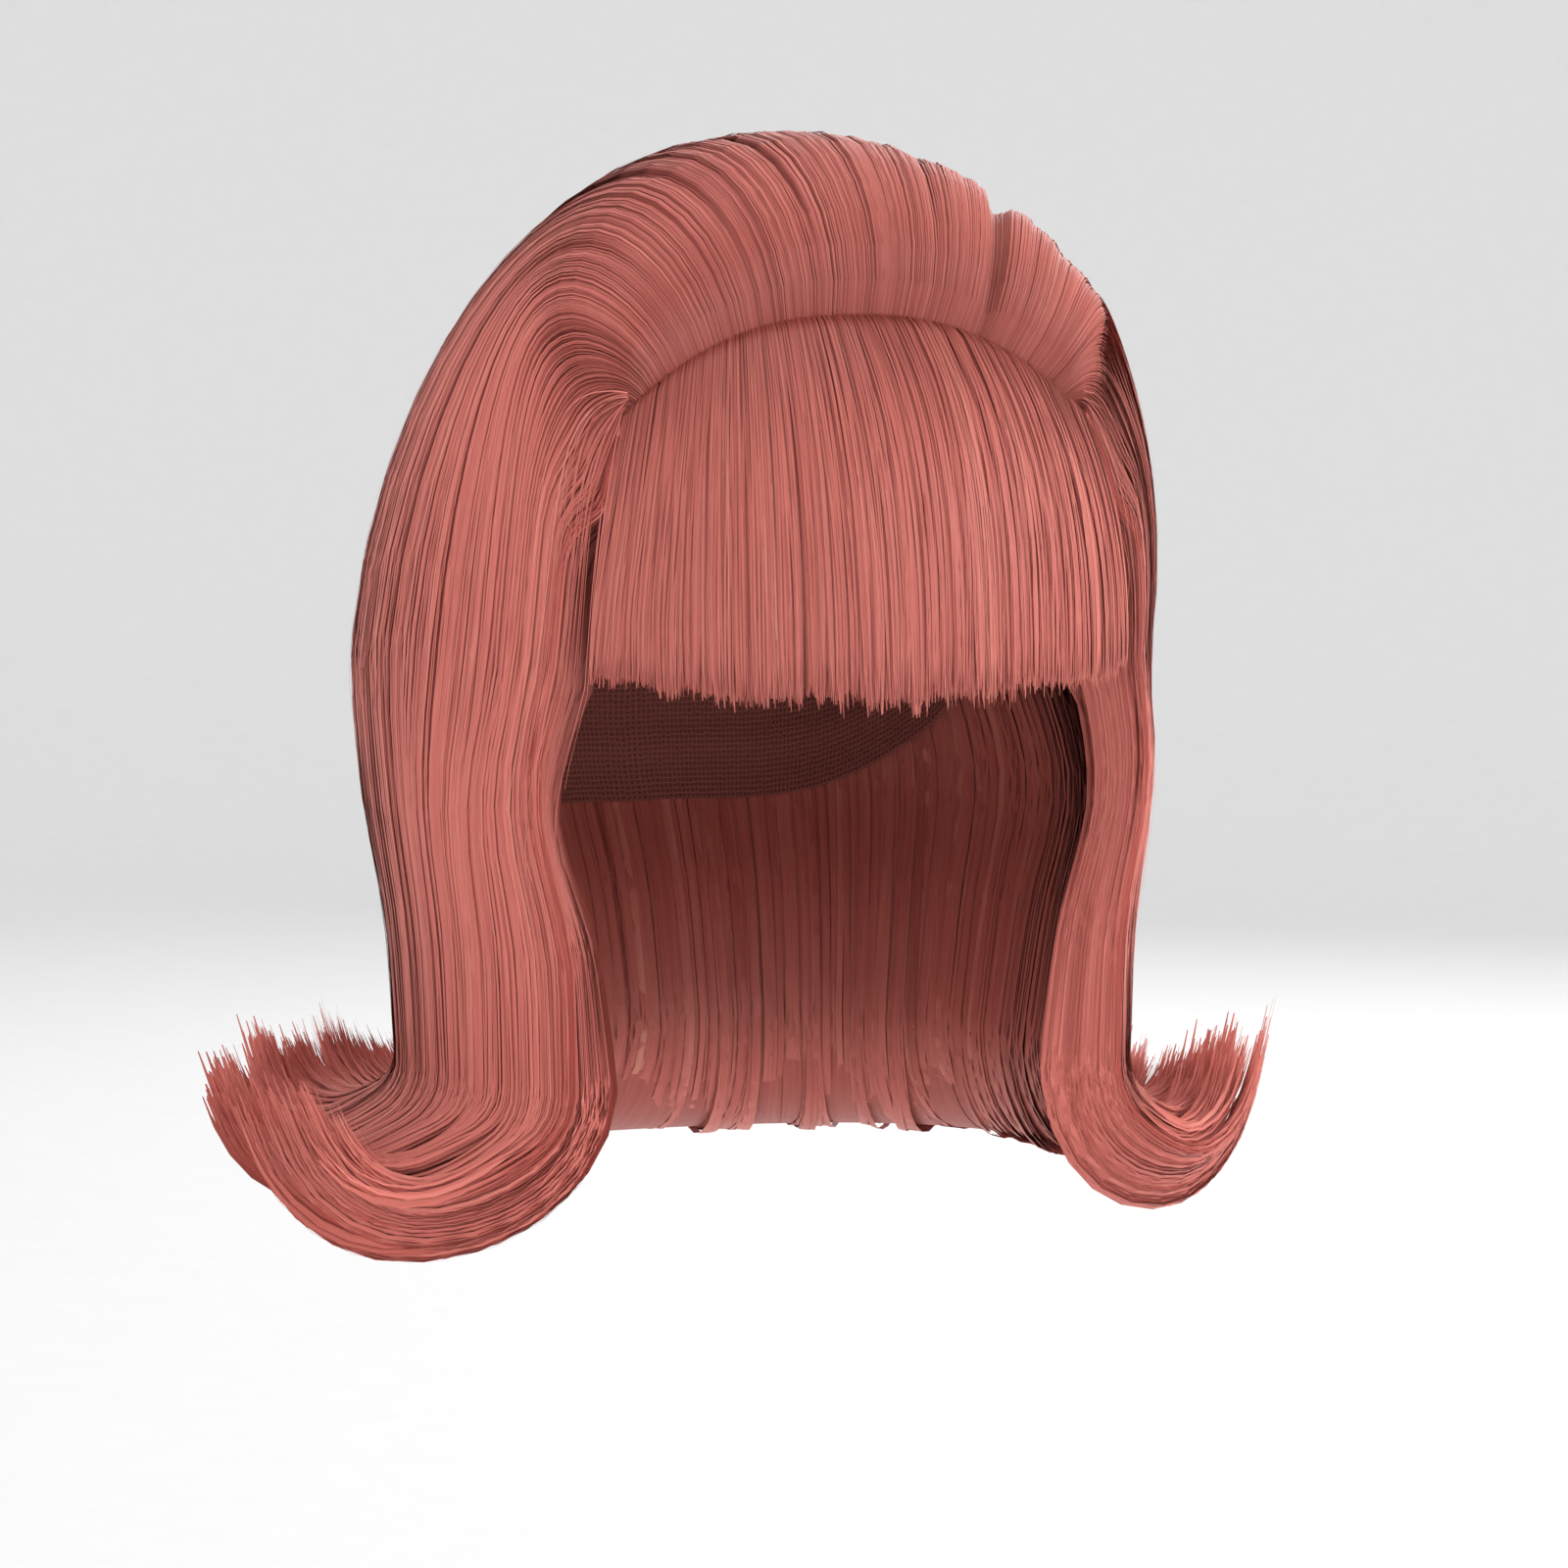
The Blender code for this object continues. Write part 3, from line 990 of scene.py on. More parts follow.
@dataclass
class Clumps:
    """Locks that strands gather in, side by side, each with a will of its own."""

    centre: Array
    half: Array
    length: Array
    spread: Array
    swing: Array
    tone: Array
    phase: Array
    pace: Array

    @classmethod
    def row(cls, rng: np.random.Generator, start: float, end: float, width: float) -> "Clumps":
        """Lay clumps side by side over a stretch of the wig.

        Args:
            rng: The source of chance.
            start: Where the stretch begins.
            end: Where it ends.
            width: A clump's usual width, on the same scale.

        Returns:
            The clumps, as arrays with one value each.
        """
        ranges = ClumpRanges()
        uneven, aside = ranges.uneven_cuts, ranges.off_centre
        count = max(1, round((end - start) / width))
        cuts = np.linspace(start, end, count + 1)
        cuts[1:-1] += rng.uniform(-uneven, uneven, count - 1) * width
        return cls(
            centre=0.5 * (cuts[1:] + cuts[:-1]) + rng.uniform(-aside, aside, count) * width,
            half=0.5 * np.diff(cuts),
            length=rng.uniform(*ranges.length, count),
            spread=rng.uniform(*ranges.spread, count),
            swing=rng.uniform(*ranges.swing, count),
            tone=rng.uniform(*ranges.tone, count),
            phase=rng.uniform(0.0, 2.0 * math.pi, count),
            pace=rng.uniform(*ranges.pace, count),
        )

    def holding(self, around: Array) -> NDArray[np.int64]:
        """Tell which clump holds each place.

        Args:
            around: Places round the wig.

        Returns:
            The clumps' numbers.
        """
        ends = np.cumsum(2.0 * self.half)
        first = self.centre[0] - self.half[0]
        return np.clip(np.searchsorted(ends, around - first), 0, len(self.centre) - 1)


def tilted(rng: np.random.Generator, points: Array, facing: Array, tilt: float) -> Array:
    """Turn strands a little about their length, each by its own amount.

    Args:
        rng: The source of chance.
        points: The strands' points.
        facing: The way that each point's strip faces.
        tilt: The usual turn.

    Returns:
        The new way that each point's strip faces.
    """
    side = unit(np.cross(np.gradient(points, axis=1), facing))
    return unit(facing + side * rng.normal(0.0, tilt, (len(points), 1, 1)))


@dataclass
class HairPiece:
    """Hair of one piece of the wig, laid in layers over a core."""

    name: str
    start: float
    end: float
    form: Bouffant
    seed: int
    plans: tuple[StrandPlan, ...]
    lock_width: float = 0.036
    wisp_width: float = 0.011
    lean: float = 0.003
    gather: float = 0.42
    split_length: float = 0.48
    tip_length: float = 0.24
    core_tone: float = 0.42
    core_scale: tuple[float, float] = (0.28, 0.12)
    comb: Comb = Comb()

    def build(self, finish: bpy.types.Material) -> bpy.types.Object:
        """Build the piece's hair.

        Args:
            finish: The hair's material.

        Returns:
            The piece's object.
        """
        rng = np.random.default_rng(self.seed)
        mesh = StrandMesh()
        locks = Clumps.row(rng, self.start, self.end, self.lock_width)
        wisps = Clumps.row(rng, self.start, self.end, self.wisp_width)
        self.add_core(mesh)
        for plan in self.plans:
            count = max(4, round(plan.density * (self.end - self.start)))
            root = rng.uniform(self.start, self.end, count)
            self.lay(mesh, rng, (locks, wisps), plan, root)
        self.add_extras(mesh, rng)
        made = mesh.build(self.name + "_hair", finish)
        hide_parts(self.name)
        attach(made, BODY)
        return made

    def add_core(self, mesh: StrandMesh) -> None:
        """Add the hair under the strands."""
        raise NotImplementedError

    def add_extras(self, mesh: StrandMesh, rng: np.random.Generator) -> None:
        """Add what only some pieces have."""

    def place(
        self, around: Array, along: Array, sink: Array | float = 0.0, depth: Array | float = 0.0,
        spread: Array | float = 1.0, swing: Array | float = 0.0,
    ) -> Array:
        """Give points of the piece's hair, as Bouffant.strands does."""
        raise NotImplementedError

    def shade(self, around: Array, along: Array) -> Array:
        """Give the painted light and shade of the hair where it lies, without its layer."""
        raise NotImplementedError

    def facing(self, around: Array, along: Array) -> Array:
        """Give which way the hair's outer face looks."""
        outer = self.place(around, along)
        return unit(outer - self.place(around, along, 0.0, 0.6))

    def relief(self, around: Array, along: Array) -> Array:
        """Give how far the outer form is drawn in between wisps.

        Args:
            around: Places round the wig.
            along: Places along the hair.

        Returns:
            The depth there, in metres.
        """
        bends = (0.9 * np.sin(1.7 * along), 1.1 * along, -1.7 * along)
        waves = sum(
            share * np.sin(pace * around + phase + bend)
            for (share, pace, phase), bend in zip(self.comb.ridges, bends)
        )
        return self.comb.ridge_height * (1.0 - waves) * smooth(along / self.comb.ridge_start)

    def combed(
        self, rng: np.random.Generator, clumps: tuple[Clumps, Clumps], root: Array, along: Array,
        split: Array,
    ) -> Array:
        """Lead strands round the wig as their clumps go.

        Args:
            rng: The source of chance.
            clumps: The locks and the finer wisps.
            root: Each strand's place at the parting.
            along: Each point's place along the hair.
            split: How far each point has come towards the parted tips, from 0 to 1.

        Returns:
            Each point's place round the wig.
        """
        comb, (locks, wisps) = self.comb, clumps
        lock, wisp = locks.holding(root), wisps.holding(root)
        lock_centre, wisp_centre = locks.centre[lock][:, None], wisps.centre[wisp][:, None]
        settled = smooth(along / comb.settled)
        wave = np.sin(wisps.pace[wisp][:, None] * along + wisps.phase[wisp][:, None])
        pinch = (comb.pinch + comb.pinch_wave * wave) * settled
        around = root[:, None] + (wisp_centre - root[:, None]) * pinch
        around = around + comb.drift * settled * np.sin(
            comb.drift_waves * root[:, None] + comb.drift_pace * along
        )
        around = around + comb.lock_wave * settled * np.sin(
            locks.pace[lock][:, None] * along + locks.phase[lock][:, None]
        )
        around = around + comb.wisp_wave * settled * wave
        bent = np.sin(5.0 * root + 2.6) - 0.3 + 0.35 * rng.normal(0.0, 1.0, len(root))
        around = around + self.lean * bent[:, None] * smooth(along)
        count = len(root)
        own = rng.normal(0.0, comb.own_wave, (count, 1)) * np.sin(
            rng.uniform(*comb.own_pace, (count, 1)) * along
            + rng.uniform(*comb.own_phase, (count, 1))
        )
        around = around + own * settled
        around = around + (lock_centre - around) * self.gather * split
        return np.clip(around, -1.0, 1.0)

    def lay(
        self, mesh: StrandMesh, rng: np.random.Generator, clumps: tuple[Clumps, Clumps],
        plan: StrandPlan, root: Array,
    ) -> None:
        """Lay strands from their roots to their tips.

        Args:
            mesh: Where the strands go.
            rng: The source of chance.
            clumps: The locks and the finer wisps that the strands gather in.
            plan: The strands' layer.
            root: Each strand's place at the parting.
        """
        comb, (locks, wisps) = self.comb, clumps
        count = len(root)
        lock, wisp = locks.holding(root), wisps.holding(root)
        places = plan.stations()
        share = (places - places[0]) / (places[-1] - places[0])
        tip = self.tip(rng, plan, root, locks.length[lock])
        first = plan.start * np.ones(count)
        if plan.start:
            first = first + rng.uniform(*comb.late_start, count)
        if plan.layer is Layer.FLYAWAY:
            first = tip * rng.uniform(*comb.fly_start, count)
            tip = first + (tip - first) * rng.uniform(*comb.fly_length, count)
        along = first[:, None] + (tip - first)[:, None] * share
        split = smooth((along - tip[:, None] + self.split_length) / self.split_length)
        around = self.combed(rng, clumps, root, along, split)
        depth = rng.uniform(*plan.depth, count)[:, None] + 0.0 * along
        sink = rng.uniform(*plan.sink, count)[:, None] + self.relief(around, along)
        sink = sink + comb.root_sink * (1.0 - smooth(along / 0.06))
        if plan.layer is Layer.FLYAWAY:
            sink = sink - comb.fly_bow * np.sin(math.pi * share) ** 2
        spread = np.minimum(locks.spread[lock] * rng.normal(1.0, 0.03, count), comb.widest_curl)
        swing = locks.swing[lock] + rng.normal(0.0, comb.swing, count)
        points = self.place(around, along, sink, depth, spread[:, None], swing[:, None])
        facing = self.facing(around, along)
        if plan.layer is Layer.LINING:
            facing = -facing
        facing = tilted(rng, points, facing, comb.tilt)
        width = plan.width * (comb.root_width + (1.0 - comb.root_width) * smooth(along / 0.7))
        end = smooth((along - tip[:, None] + self.tip_length) / self.tip_length)
        width = width * (1.0 - (1.0 - comb.tip_width) * end)
        width = width * rng.uniform(*comb.width_range, (count, 1))
        tone = comb.usual_tone + comb.clump_tone * (locks.tone[lock] + wisps.tone[wisp])
        tone = tone + rng.normal(0.0, comb.own_tone, count)
        odd = rng.random(count)
        tone = tone + np.where(odd < comb.odd_share, comb.odd_dark, 0.0)
        tone = tone + np.where(odd > 1.0 - comb.odd_share, comb.odd_pale, 0.0)
        # Painted shade: each layer's darkness fades where the flip uncovers it, and the piece's
        # painted shade darkens the roots and furrows.
        bare = smooth((along - comb.bare_from) / comb.bare_over)
        light = (plan.light + (1.0 - plan.light) * bare) * self.shade(around, along)
        lane = rng.uniform(*comb.lane, count)
        tones = shades(tone[:, None], light)
        mesh.add_strands(points, facing, width, comb.crown, plan.lanes, tones, lane)

    def tip(
        self, rng: np.random.Generator, plan: StrandPlan, root: Array, length: Array
    ) -> Array:
        """Give where strands end, from their layer's usual end and their lock's length."""
        return plan.end + length + rng.normal(0.0, 0.035, len(root))

    def add_sheet(
        self, mesh: StrandMesh, points: Array, around: Array, along: Array, light: float
    ) -> None:
        """Add one sheet of the core, with streaks along the hair.

        Args:
            mesh: Where the sheet goes.
            points: The sheet's points.
            around: Their places round the wig.
            along: Their places along the hair.
            light: How much light reaches the sheet, painted into its colour as shade.
        """
        places = np.stack((around * self.core_scale[0], along * self.core_scale[1]), axis=-1)
        tones = shades(self.core_tone, light * self.shade(around, along))
        mesh.add_grid(points[None], places[None], tones[None])


@dataclass
class SweptPiece(HairPiece):
    """Hair that is swept back from the parting, falls and flips out."""

    # Painted shade under the parting's crease, fading along the hair.
    roots: RootShade = RootShade(0.36, 0.34, 0.13, 0.30, 0.42)
    # Painted shade in the furrows: how much darker, and the furrow depth where it is full.
    furrow_shade: float = 0.10
    dark_furrow: float = 0.003
    core_end: float = 2.42
    core_columns: int = 30
    core_rows: int = 44
    core_sink: float = 0.0036
    core_light: float = 0.80
    lining_depth: float = 0.94
    lining_light: float = 0.55
    side_sink: float = 0.0040
    side_light: float = 0.42
    edge_strands: int = 0
    edge_depth: float = 0.012
    edge_shade: float = 0.72
    edge_rows: int = 34
    edge_width: float = 0.0012
    edge_tilt: float = 0.3
    edge_sink: float = 0.0005
    edge_start: float = 0.03
    edge_end: float = 2.90
    wisp_strands: int = 0
    wisp_rows: int = 22
    wisp_thickness: float = 0.00042
    wisp_end: tuple[float, float] = (0.75, 1.75)
    wisp_lean: tuple[float, float] = (-0.012, 0.030)
    wisp_sink: float = 0.0015
    parted_from: float = 0.86
    temple_gap: float = 0.040

    def place(
        self, around: Array, along: Array, sink: Array | float = 0.0, depth: Array | float = 0.0,
        spread: Array | float = 1.0, swing: Array | float = 0.0,
    ) -> Array:
        """Give points of the swept-back hair, which parts from the fringe at the temple.

        Args:
            around: Places from -1 to 1 round the back.
            along: Places along the hair.
            sink: How far inside the outer form, in metres.
            depth: Shares of the way from there to the inner form.
            spread: The size of a strand's own curl, as a share of the flip's.
            swing: Degrees that a strand's own curl is turned sideways.

        Returns:
            The points.
        """
        parted = smooth((np.abs(around) - self.parted_from) / (1.0 - self.parted_from))
        gap = self.temple_gap * smooth((along - 0.35) / 0.4) * smooth((1.75 - along) / 0.7)
        around = around * (1.0 - gap * parted)
        return self.form.strands(around, along, sink, depth, spread, swing)

    def shade(self, around: Array, along: Array) -> Array:
        """Give the painted shade: the hair is painted darker at the parting and in the furrows,
        where shade falls.
        """
        furrow = np.clip(self.form.furrowed(around, along) / self.dark_furrow, 0.0, 1.5)
        return self.roots.at(along) * (1.0 - self.furrow_shade * furrow)

    def add_core(self, mesh: StrandMesh) -> None:
        """Add an outer and an inner sheet under the strands, and close their edges.

        Args:
            mesh: Where the sheets go.
        """
        low = max(self.start, self.edge_depth - 1.0)
        high = min(self.end, 1.0 - self.edge_depth)
        around = np.linspace(low, high, self.core_columns)[None, :]
        along = np.linspace(0.0, self.core_end, self.core_rows)[:, None]
        around, along = np.broadcast_arrays(around, along)
        outer = self.place(around, along, self.core_sink)
        inner = self.place(around, along, 0.0, self.lining_depth)
        # Painted shade: the outer sheet lies under the strands and is painted darker, and the
        # inner and side sheets lie deeper and are painted darker still.
        self.add_sheet(mesh, outer, around, along, self.core_light)
        self.add_sheet(mesh, inner, around, along, self.lining_light)
        share = np.linspace(0.0, self.lining_depth, 6)[None, :]
        for edge in (low, high):
            sides, ways, depths = np.broadcast_arrays(edge, along[:, :1], share)
            points = self.place(sides, ways, self.side_sink, depths)
            self.add_sheet(mesh, points, sides + 0.1 * share, ways, self.side_light)

    def add_extras(self, mesh: StrandMesh, rng: np.random.Generator) -> None:
        """Cover the front edge, and let wisps hang over the temple.

        Args:
            mesh: Where the strands go.
            rng: The source of chance.
        """
        inward = -math.copysign(1.0, self.start + self.end)
        edge = self.start if inward > 0.0 else self.end
        if self.edge_strands:
            self.add_edge(mesh, rng, edge, inward)
        if self.wisp_strands:
            self.add_temple_wisps(mesh, rng, edge, inward)

    def add_edge(
        self, mesh: StrandMesh, rng: np.random.Generator, edge: float, inward: float
    ) -> None:
        """Cover the front edge, where the piece's thickness shows.

        Args:
            mesh: Where the strands go.
            rng: The source of chance.
            edge: The edge's place round the wig.
            inward: The sign of the way from the edge into the piece.
        """
        count = self.edge_strands
        root = edge + inward * rng.uniform(0.0, self.edge_depth, count)
        deepest = rng.uniform(0.0, 1.0, count) ** 0.8
        share = np.linspace(0.0, 1.0, self.edge_rows)[None, :]
        tip = self.edge_end + rng.normal(0.0, 0.06, count)
        along = self.edge_start + (tip[:, None] - self.edge_start) * share
        around = root[:, None] + rng.normal(0.0, 0.002, (count, 1)) * np.sin(2.0 * along)
        around = np.clip(around, -1.0, 1.0)
        depth = deepest[:, None] * smooth(along / 0.6)
        spread = rng.uniform(0.93, 1.0, (count, 1))
        points = self.place(around, along, self.edge_sink, depth, spread)
        facing = unit(points - self.place(around + inward * 0.02, along, self.edge_sink, depth))
        facing = tilted(rng, points, facing, self.edge_tilt)
        width = self.edge_width * (1.0 - 0.85 * smooth((along - tip[:, None] + 0.4) / 0.4))
        tone = 0.46 + rng.normal(0.0, 0.11, count)
        # Painted shade: deeper edge strands are darker until the flip uncovers them.
        light = 1.0 - self.edge_shade * deepest[:, None] * (1.0 - smooth((along - 1.75) / 0.45))
        tones, lane = shades(tone[:, None], light), rng.uniform(*self.comb.lane, count)
        mesh.add_strands(points, facing, width, self.comb.crown, 2, tones, lane)

    def add_temple_wisps(
        self, mesh: StrandMesh, rng: np.random.Generator, edge: float, inward: float
    ) -> None:
        """Let thin wisps hang from the end of the parting over the temple.

        Args:
            mesh: Where the strands go.
            rng: The source of chance.
            edge: The edge's place round the wig.
            inward: The sign of the way from the edge into the piece.
        """
        count = self.wisp_strands
        share = np.linspace(0.0, 1.0, self.wisp_rows)[None, :]
        tip = rng.uniform(*self.wisp_end, count)
        along = 0.02 + (tip[:, None] - 0.02) * share
        root = edge + inward * rng.uniform(0.0, 0.05, count)
        lean = rng.uniform(*self.wisp_lean, count)[:, None]
        around = root[:, None] + inward * lean * np.sin(0.5 * math.pi * share)
        around = np.clip(around, -1.0, 1.0)
        sink = rng.uniform(-self.wisp_sink, self.wisp_sink, count)[:, None] + 0.0 * along
        points = self.form.strands(around, along, sink)
        facing = self.facing(around, along)
        width = self.wisp_thickness * (1.0 - 0.8 * share) + 0.0 * along
        tone = 0.55 + rng.normal(0.0, 0.2, count)
        # Painted shade: the wisps are painted a little darker.
        tones, lane = shades(tone[:, None], 0.95), rng.uniform(*self.comb.lane, count)
        mesh.add_strands(points, facing, width, self.comb.crown, 2, tones, lane)


@dataclass
class FringePiece(HairPiece):
    """The full fringe, which fans from the parting down to the brow."""

    corner_lift: float = 0.05
    # Painted shade under the parting's crease, fading along the hair.
    roots: RootShade = RootShade(0.24, 0.21, 0.10, 0.20, 0.62)
    # Painted light: the wearer's left and the corners of the fringe are painted lighter.
    left_light: float = 0.07
    corner_light: float = 0.20
    core_columns: int = 48
    core_rows: int = 16
    core_end: float = 0.92
    core_sink: float = 0.0030
    core_light: float = 0.80
    lining_depth: float = 0.95
    lining_light: float = 0.50

    def place(
        self, around: Array, along: Array, sink: Array | float = 0.0, depth: Array | float = 0.0,
        spread: Array | float = 1.0, swing: Array | float = 0.0,
    ) -> Array:
        """Give points of the fringe. Its strands keep their places side by side.

        Args:
            around: Places from -1 to 1 across the forehead.
            along: 0 at the parting and 1 at the widest level.
            sink: How far inside the outer form, in metres.
            depth: Shares of the way from there to the inner form.
            spread: Has no use here, because the fringe doesn't curl.
            swing: Has no use here either.

        Returns:
            The points.
        """
        outer = self.form.fringe(around, along)
        inner = self.form.head.seat(outer, self.form.cap_wall + self.form.seat_gap)
        thick = np.linalg.norm(inner - outer, axis=-1)
        inset = np.clip(sink / np.maximum(thick, 1e-4), -0.15, 0.9)
        share = inset + (1.0 - inset) * depth
        return outer + (inner - outer) * share[..., None]

    def shade(self, around: Array, along: Array) -> Array:
        """Give the painted light and shade: darker under the parting, lighter at the corners and
        on the wearer's left, where more light falls.
        """
        corners = self.left_light * around + self.corner_light * around**2
        return self.roots.at(along) + corners * smooth(along / 0.4)

    def tip(
        self, rng: np.random.Generator, plan: StrandPlan, root: Array, length: Array
    ) -> Array:
        """Give where strands end: a soft, uneven line that lifts at the corners.

        Args:
            rng: The source of chance.
            plan: The strands' layer; not used here.
            root: Each strand's place across the forehead.
            length: How much longer each one's lock is than usual.

        Returns:
            Places along the hair.
        """
        uneven = 0.006 * np.sin(9.0 * root + 1.0) + 0.005 * np.sin(23.0 * root)
        usual = 1.0 - self.corner_lift * root**2 + uneven + 0.16 * (length + 0.04)
        return usual + rng.normal(0.0, 0.010, len(root)) + 0.035 * rng.random(len(root)) ** 6

    def add_core(self, mesh: StrandMesh) -> None:
        """Add two sheets under the strands.

        Args:
            mesh: Where the sheets go.
        """
        across = np.linspace(-0.995, 0.995, self.core_columns)[None, :]
        along = np.linspace(0.0, self.core_end, self.core_rows)[:, None]
        across, along = np.broadcast_arrays(across, along)
        outer = self.place(across, along, self.core_sink)
        inner = self.place(across, along, 0.0, self.lining_depth)
        # Painted shade: the sheets under the strands are painted darker, the inner one most.
        self.add_sheet(mesh, outer, across, along, self.core_light)
        self.add_sheet(mesh, inner, across, along, self.lining_light)


@dataclass
class Cap:
    """The cap that the hair is sewn to, with its rows of tracks."""

    head: HeadForm
    wall: float = 0.002
    columns: int = 120
    rows: int = 44
    tracks: int = 9
    track_height: float = 0.0009
    track_margin: float = 0.03
    track_fade: float = 0.05
    top_gap: float = 0.004
    edge: tuple[tuple[float, float], ...] = (
        (0.0, 1.27), (40.0, 1.24), (68.0, 1.08), (90.0, 0.84),
        (112.0, 0.88), (135.0, 0.60), (158.0, 0.42), (180.0, 0.39),
    )

    def edge_at(self, turn: Array) -> Array:
        """Give the cap's lower edge, as a share of the rise, round from the back."""
        table = np.array(self.edge)
        return curve_through(table[:, 0], table[:, 1], np.abs(turn))

    def build(self, finish: bpy.types.Material) -> bpy.types.Object:
        """Build the cap's wall, with its tracks raised on the inside.

        Args:
            finish: The cap's material.

        Returns:
            The cap's object.
        """
        mesh = StrandMesh()
        turn = np.linspace(-180.0, 180.0, self.columns + 1)[None, :]
        share = np.linspace(0.0, 1.0, self.rows)[:, None]
        drop = -self.head.rise * self.edge_at(turn)
        above = drop > -self.head.rise
        lowest = (drop + self.head.rise) / np.where(above, self.head.rise, self.head.nape_tuck)
        low = np.arcsin(np.clip(lowest, -1.0, 1.0))
        climb = low + (0.5 * math.pi - self.top_gap - low) * share
        turn = np.broadcast_to(turn, climb.shape)
        outer = self.head.net(turn, climb, self.wall)
        inner = self.head.net(turn, climb, 0.0)
        ridge = np.maximum(0.0, np.cos(2.0 * math.pi * self.tracks * share)) ** 3
        ridge = ridge * smooth((share - self.track_margin) / self.track_fade)
        ridge = ridge * smooth((1.0 - self.track_margin - share) / self.track_fade)
        inward = unit(np.array((0.0, 0.0, -self.head.rise)) - inner)
        inner = inner + inward * (self.track_height * ridge)[..., None]
        rim = np.stack((outer[0], 0.5 * (outer[0] + inner[0]), inner[0]))
        for sheet in (outer, inner, rim):
            steps = np.linalg.norm(np.diff(sheet, axis=0), axis=-1)
            length = np.concatenate((np.zeros((1, sheet.shape[1])), np.cumsum(steps, axis=0)))
            round_it = np.broadcast_to(np.radians(turn[:1]) * self.head.back, length.shape)
            places = np.stack((round_it, length), axis=-1)
            mesh.add_grid(sheet[None], places[None])
        made = mesh.build("cap_net", finish)
        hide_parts("cap")
        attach(made, BODY)
        return made


@dataclass(frozen=True)
class SoftLight:
    """A soft square light that is aimed at the wig."""

    name: str
    place: tuple[float, float, float]
    size: float
    power: float


@dataclass
class Studio:
    """The pale seamless floor, the soft lights and the camera."""

    aim: tuple[float, float, float] = (0.0080, -0.0034, -0.1378)
    azimuth: float = -23.0
    elevation: float = 5.0
    distance: float = 1.5
    lens: float = 124.9
    floor: float = -0.46
    flat_radius: float = 2.6
    wall_radius: float = 4.2
    wall_height: float = 2.6
    paper: tuple[Colour, Colour] = ((0.72, 0.72, 0.72, 1.0), (0.75, 0.75, 0.75, 1.0))
    paper_grain: float = 60.0
    paper_roughness: float = 0.9
    paper_specular: float = 0.1
    lights: tuple[SoftLight, ...] = (
        SoftLight("key", (1.8, -1.4, 0.6), 1.3, 36.0),
        SoftLight("fill", (-1.9, -0.9, 0.2), 1.6, 12.0),
        SoftLight("low", (0.1, -1.9, -0.32), 1.0, 9.0),
        SoftLight("top", (0.1, -0.2, 1.5), 1.0, 5.0),
        SoftLight("rim", (1.2, 1.6, 0.7), 1.2, 10.0),
    )

    def build(self) -> None:
        """Build all of it."""
        self.add_backdrop()
        for light in self.lights:
            self.add_light(light)
        self.add_world()
        self.add_camera()

    def add_backdrop(self) -> None:
        """Turn a seamless floor that curves up into a wall all round."""
        bend = np.linspace(0.0, 0.5 * math.pi, 14)
        span = self.wall_radius - self.flat_radius
        profile = [(0.02, 0.0), (1.0, 0.0)]
        profile += [
            (self.flat_radius + span * math.sin(a), span * (1.0 - math.cos(a))) for a in bend
        ]
        profile.append((self.wall_radius, self.wall_height))
        radius, height = np.array(profile).T
        turn = np.linspace(0.0, 2.0 * math.pi, 97)[None, :]
        points = stack(
            radius[:, None] * np.cos(turn),
            radius[:, None] * np.sin(turn),
            (self.floor + height)[:, None] + 0.0 * turn,
        )
        nodes = NodeTree("paper")
        place = nodes.add("ShaderNodeNewGeometry").outputs["Position"]
        grain = nodes.add(
            "ShaderNodeTexNoise", {"Vector": place, "Scale": self.paper_grain, "Detail": 3.0}
        )
        colour = nodes.mix(grain.outputs[0], *self.paper)
        nodes.put(nodes.shader.inputs["Base Color"], colour)
        nodes.shader.inputs["Roughness"].default_value = self.paper_roughness
        nodes.shader.inputs["Specular IOR Level"].default_value = self.paper_specular
        mesh = StrandMesh()
        mesh.add_grid(points[None], points[None, ..., :2])
        mesh.build("paper_sweep", nodes.material)

    def add_light(self, light: SoftLight) -> None:
        """Add a light.

        Args:
            light: What to add.
        """
        lamp_data = bpy.data.lights.new(light.name, "AREA")
        lamp_data.shape = "SQUARE"
        lamp_data.size = light.size
        lamp_data.energy = light.power
        lamp = bpy.data.objects.new(light.name, lamp_data)
        lamp.location = light.place
        aim = Vector(self.aim) - Vector(light.place)
        lamp.rotation_euler = aim.to_track_quat("-Z", "Y").to_euler()
        bpy.context.scene.collection.objects.link(lamp)

    def add_world(self) -> None:
        """Set the room's even light."""
        world = bpy.data.worlds.new("room")
        world.use_nodes = True
        background = world.node_tree.nodes["Background"]
        background.inputs["Color"].default_value = WHITE
        background.inputs["Strength"].default_value = 1.0
        bpy.context.scene.world = world
        bpy.context.scene.view_settings.view_transform = "Standard"

    def add_camera(self) -> None:
        """Set the camera at the photograph's angle."""
        turn, rise = math.radians(self.azimuth), math.radians(self.elevation)
        away = Vector(
            (math.sin(turn) * math.cos(rise), -math.cos(turn) * math.cos(rise), math.sin(rise))
        )
        camera = bpy.data.objects.new("camera", bpy.data.cameras.new("camera"))
        camera.data.lens = self.lens
        camera.location = Vector(self.aim) + away * self.distance
        camera.rotation_euler = (-away).to_track_quat("-Z", "Y").to_euler()
        bpy.context.scene.collection.objects.link(camera)
        bpy.context.scene.camera = camera


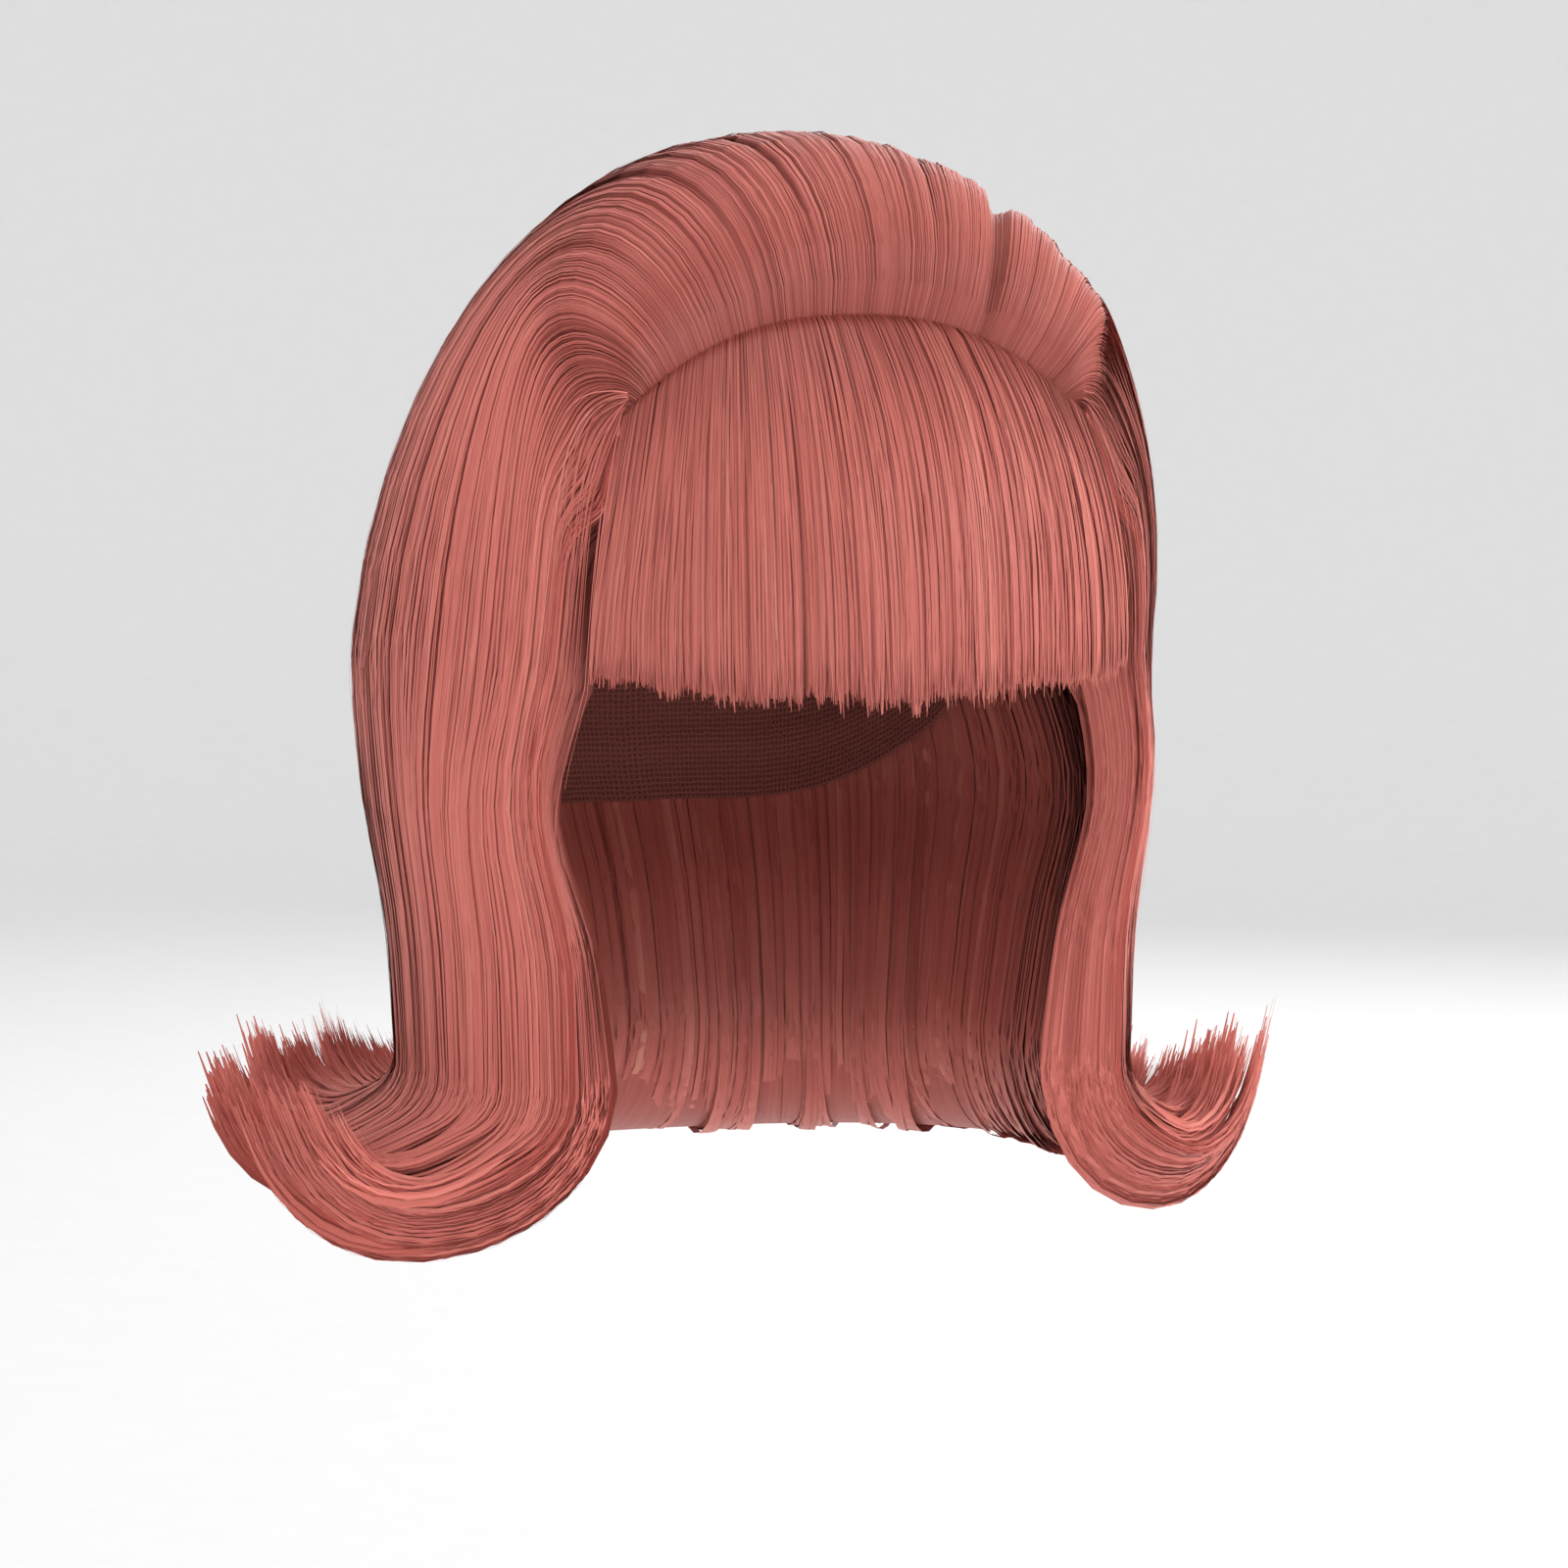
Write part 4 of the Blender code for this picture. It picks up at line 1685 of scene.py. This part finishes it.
# Each plan's sixth value is its painted light: the deeper layers are painted darker, as shade
# falls there.
SWEPT_LAYERS = (
    StrandPlan(Layer.FACE, 480.0, 0.0022, 3, (0.0020, 0.0032), 0.88),
    StrandPlan(Layer.FACE, 860.0, 0.0013, 2, (0.0008, 0.0020), 0.95),
    StrandPlan(Layer.FACE, 1250.0, 0.0007, 2, (0.0, 0.0009), 1.00),
    StrandPlan(
        Layer.LINING, 820.0, 0.0022, 2, (0.0, 0.0), 0.42,
        depth=(0.88, 1.0), start=0.85, rows=(10, 8, 13),
    ),
    StrandPlan(
        Layer.TIPS, 560.0, 0.0010, 2, (0.001, 0.003), 0.85,
        depth=(0.05, 0.60), start=2.1, rows=(0, 0, 17),
    ),
    StrandPlan(Layer.FLYAWAY, 40.0, 0.0004, 2, (0.0002, 0.0012), 1.0),
)

# The fringe ends where the falls begin, so its strands have rows over the dome alone.
FRINGE_ROWS = (18, 0, 0)
# Each plan's sixth value is its painted light: the deeper layers are painted darker, as shade
# falls there.
FRINGE_LAYERS = (
    StrandPlan(Layer.FACE, 210.0, 0.0022, 3, (0.0018, 0.0028), 0.90, end=1.0, rows=FRINGE_ROWS),
    StrandPlan(Layer.FACE, 430.0, 0.0013, 2, (0.0008, 0.0018), 0.96, end=1.0, rows=FRINGE_ROWS),
    StrandPlan(Layer.FACE, 760.0, 0.0006, 2, (0.0, 0.0008), 1.0, end=1.0, rows=FRINGE_ROWS),
    StrandPlan(
        Layer.LINING, 170.0, 0.0020, 2, (0.0, 0.0), 0.60, depth=(0.8, 0.97), end=1.0,
        rows=FRINGE_ROWS,
    ),
    StrandPlan(Layer.FLYAWAY, 26.0, 0.0004, 2, (0.0002, 0.001), 1.0, end=1.0, rows=FRINGE_ROWS),
)


@dataclass(frozen=True)
class SideSection:
    """A section of hair that each side of the wig has, and what is its own."""

    name: str
    start: float
    end: float
    gather: float
    edge_strands: int = 0
    wisp_strands: int = 0


CROWN_EDGE = 0.21
BACK_GATHER = 0.28
SIDE_GATHER = 0.42
SIDE_SECTIONS = (
    SideSection("rear_fall", CROWN_EDGE, 0.50, BACK_GATHER),
    SideSection("side_fall", 0.50, 0.80, SIDE_GATHER),
    SideSection("front_lock", 0.80, 1.00, SIDE_GATHER, edge_strands=760, wisp_strands=26),
)
# Painted shade inside each front edge: deep on the wearer's right, slight on the lit left.
EDGE_SHADE = {Side.LEFT: 0.10, Side.RIGHT: 0.86}


def build_hair(form: Bouffant, finish: bpy.types.Material) -> None:
    """Build the fringe, then the swept-back pieces from the crown to the temples.

    Args:
        form: The wig's form.
        finish: The hair's material.
    """
    FringePiece(
        "fringe", -1.0, 1.0, form, 77, FRINGE_LAYERS, lock_width=0.065, wisp_width=0.026,
        lean=0.032, gather=0.16, split_length=0.20, tip_length=0.12,
    ).build(finish)
    SweptPiece(
        "crown_sweep", -CROWN_EDGE, CROWN_EDGE, form, 11, SWEPT_LAYERS, gather=BACK_GATHER
    ).build(finish)
    for side in Side:
        for section in SIDE_SECTIONS:
            low, high = sorted((side.value * section.start, side.value * section.end))
            seed = 100 + round(10 * section.start) + 1000 * (side is Side.LEFT)
            SweptPiece(
                section.name + side.ending, low, high, form, seed, SWEPT_LAYERS,
                gather=section.gather, edge_strands=section.edge_strands,
                wisp_strands=section.wisp_strands, edge_shade=EDGE_SHADE[side],
            ).build(finish)


def main() -> None:
    """Build the wig's pieces in order, then the studio."""
    logging.basicConfig(level=logging.INFO, format="%(message)s")
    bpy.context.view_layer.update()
    form = Bouffant()
    Cap(form.head).build(CapFinish().make("cap_net"))
    build_hair(form, HairFinish().make("rose_hair"))
    Studio().build()


if __name__ == "__main__":
    main()
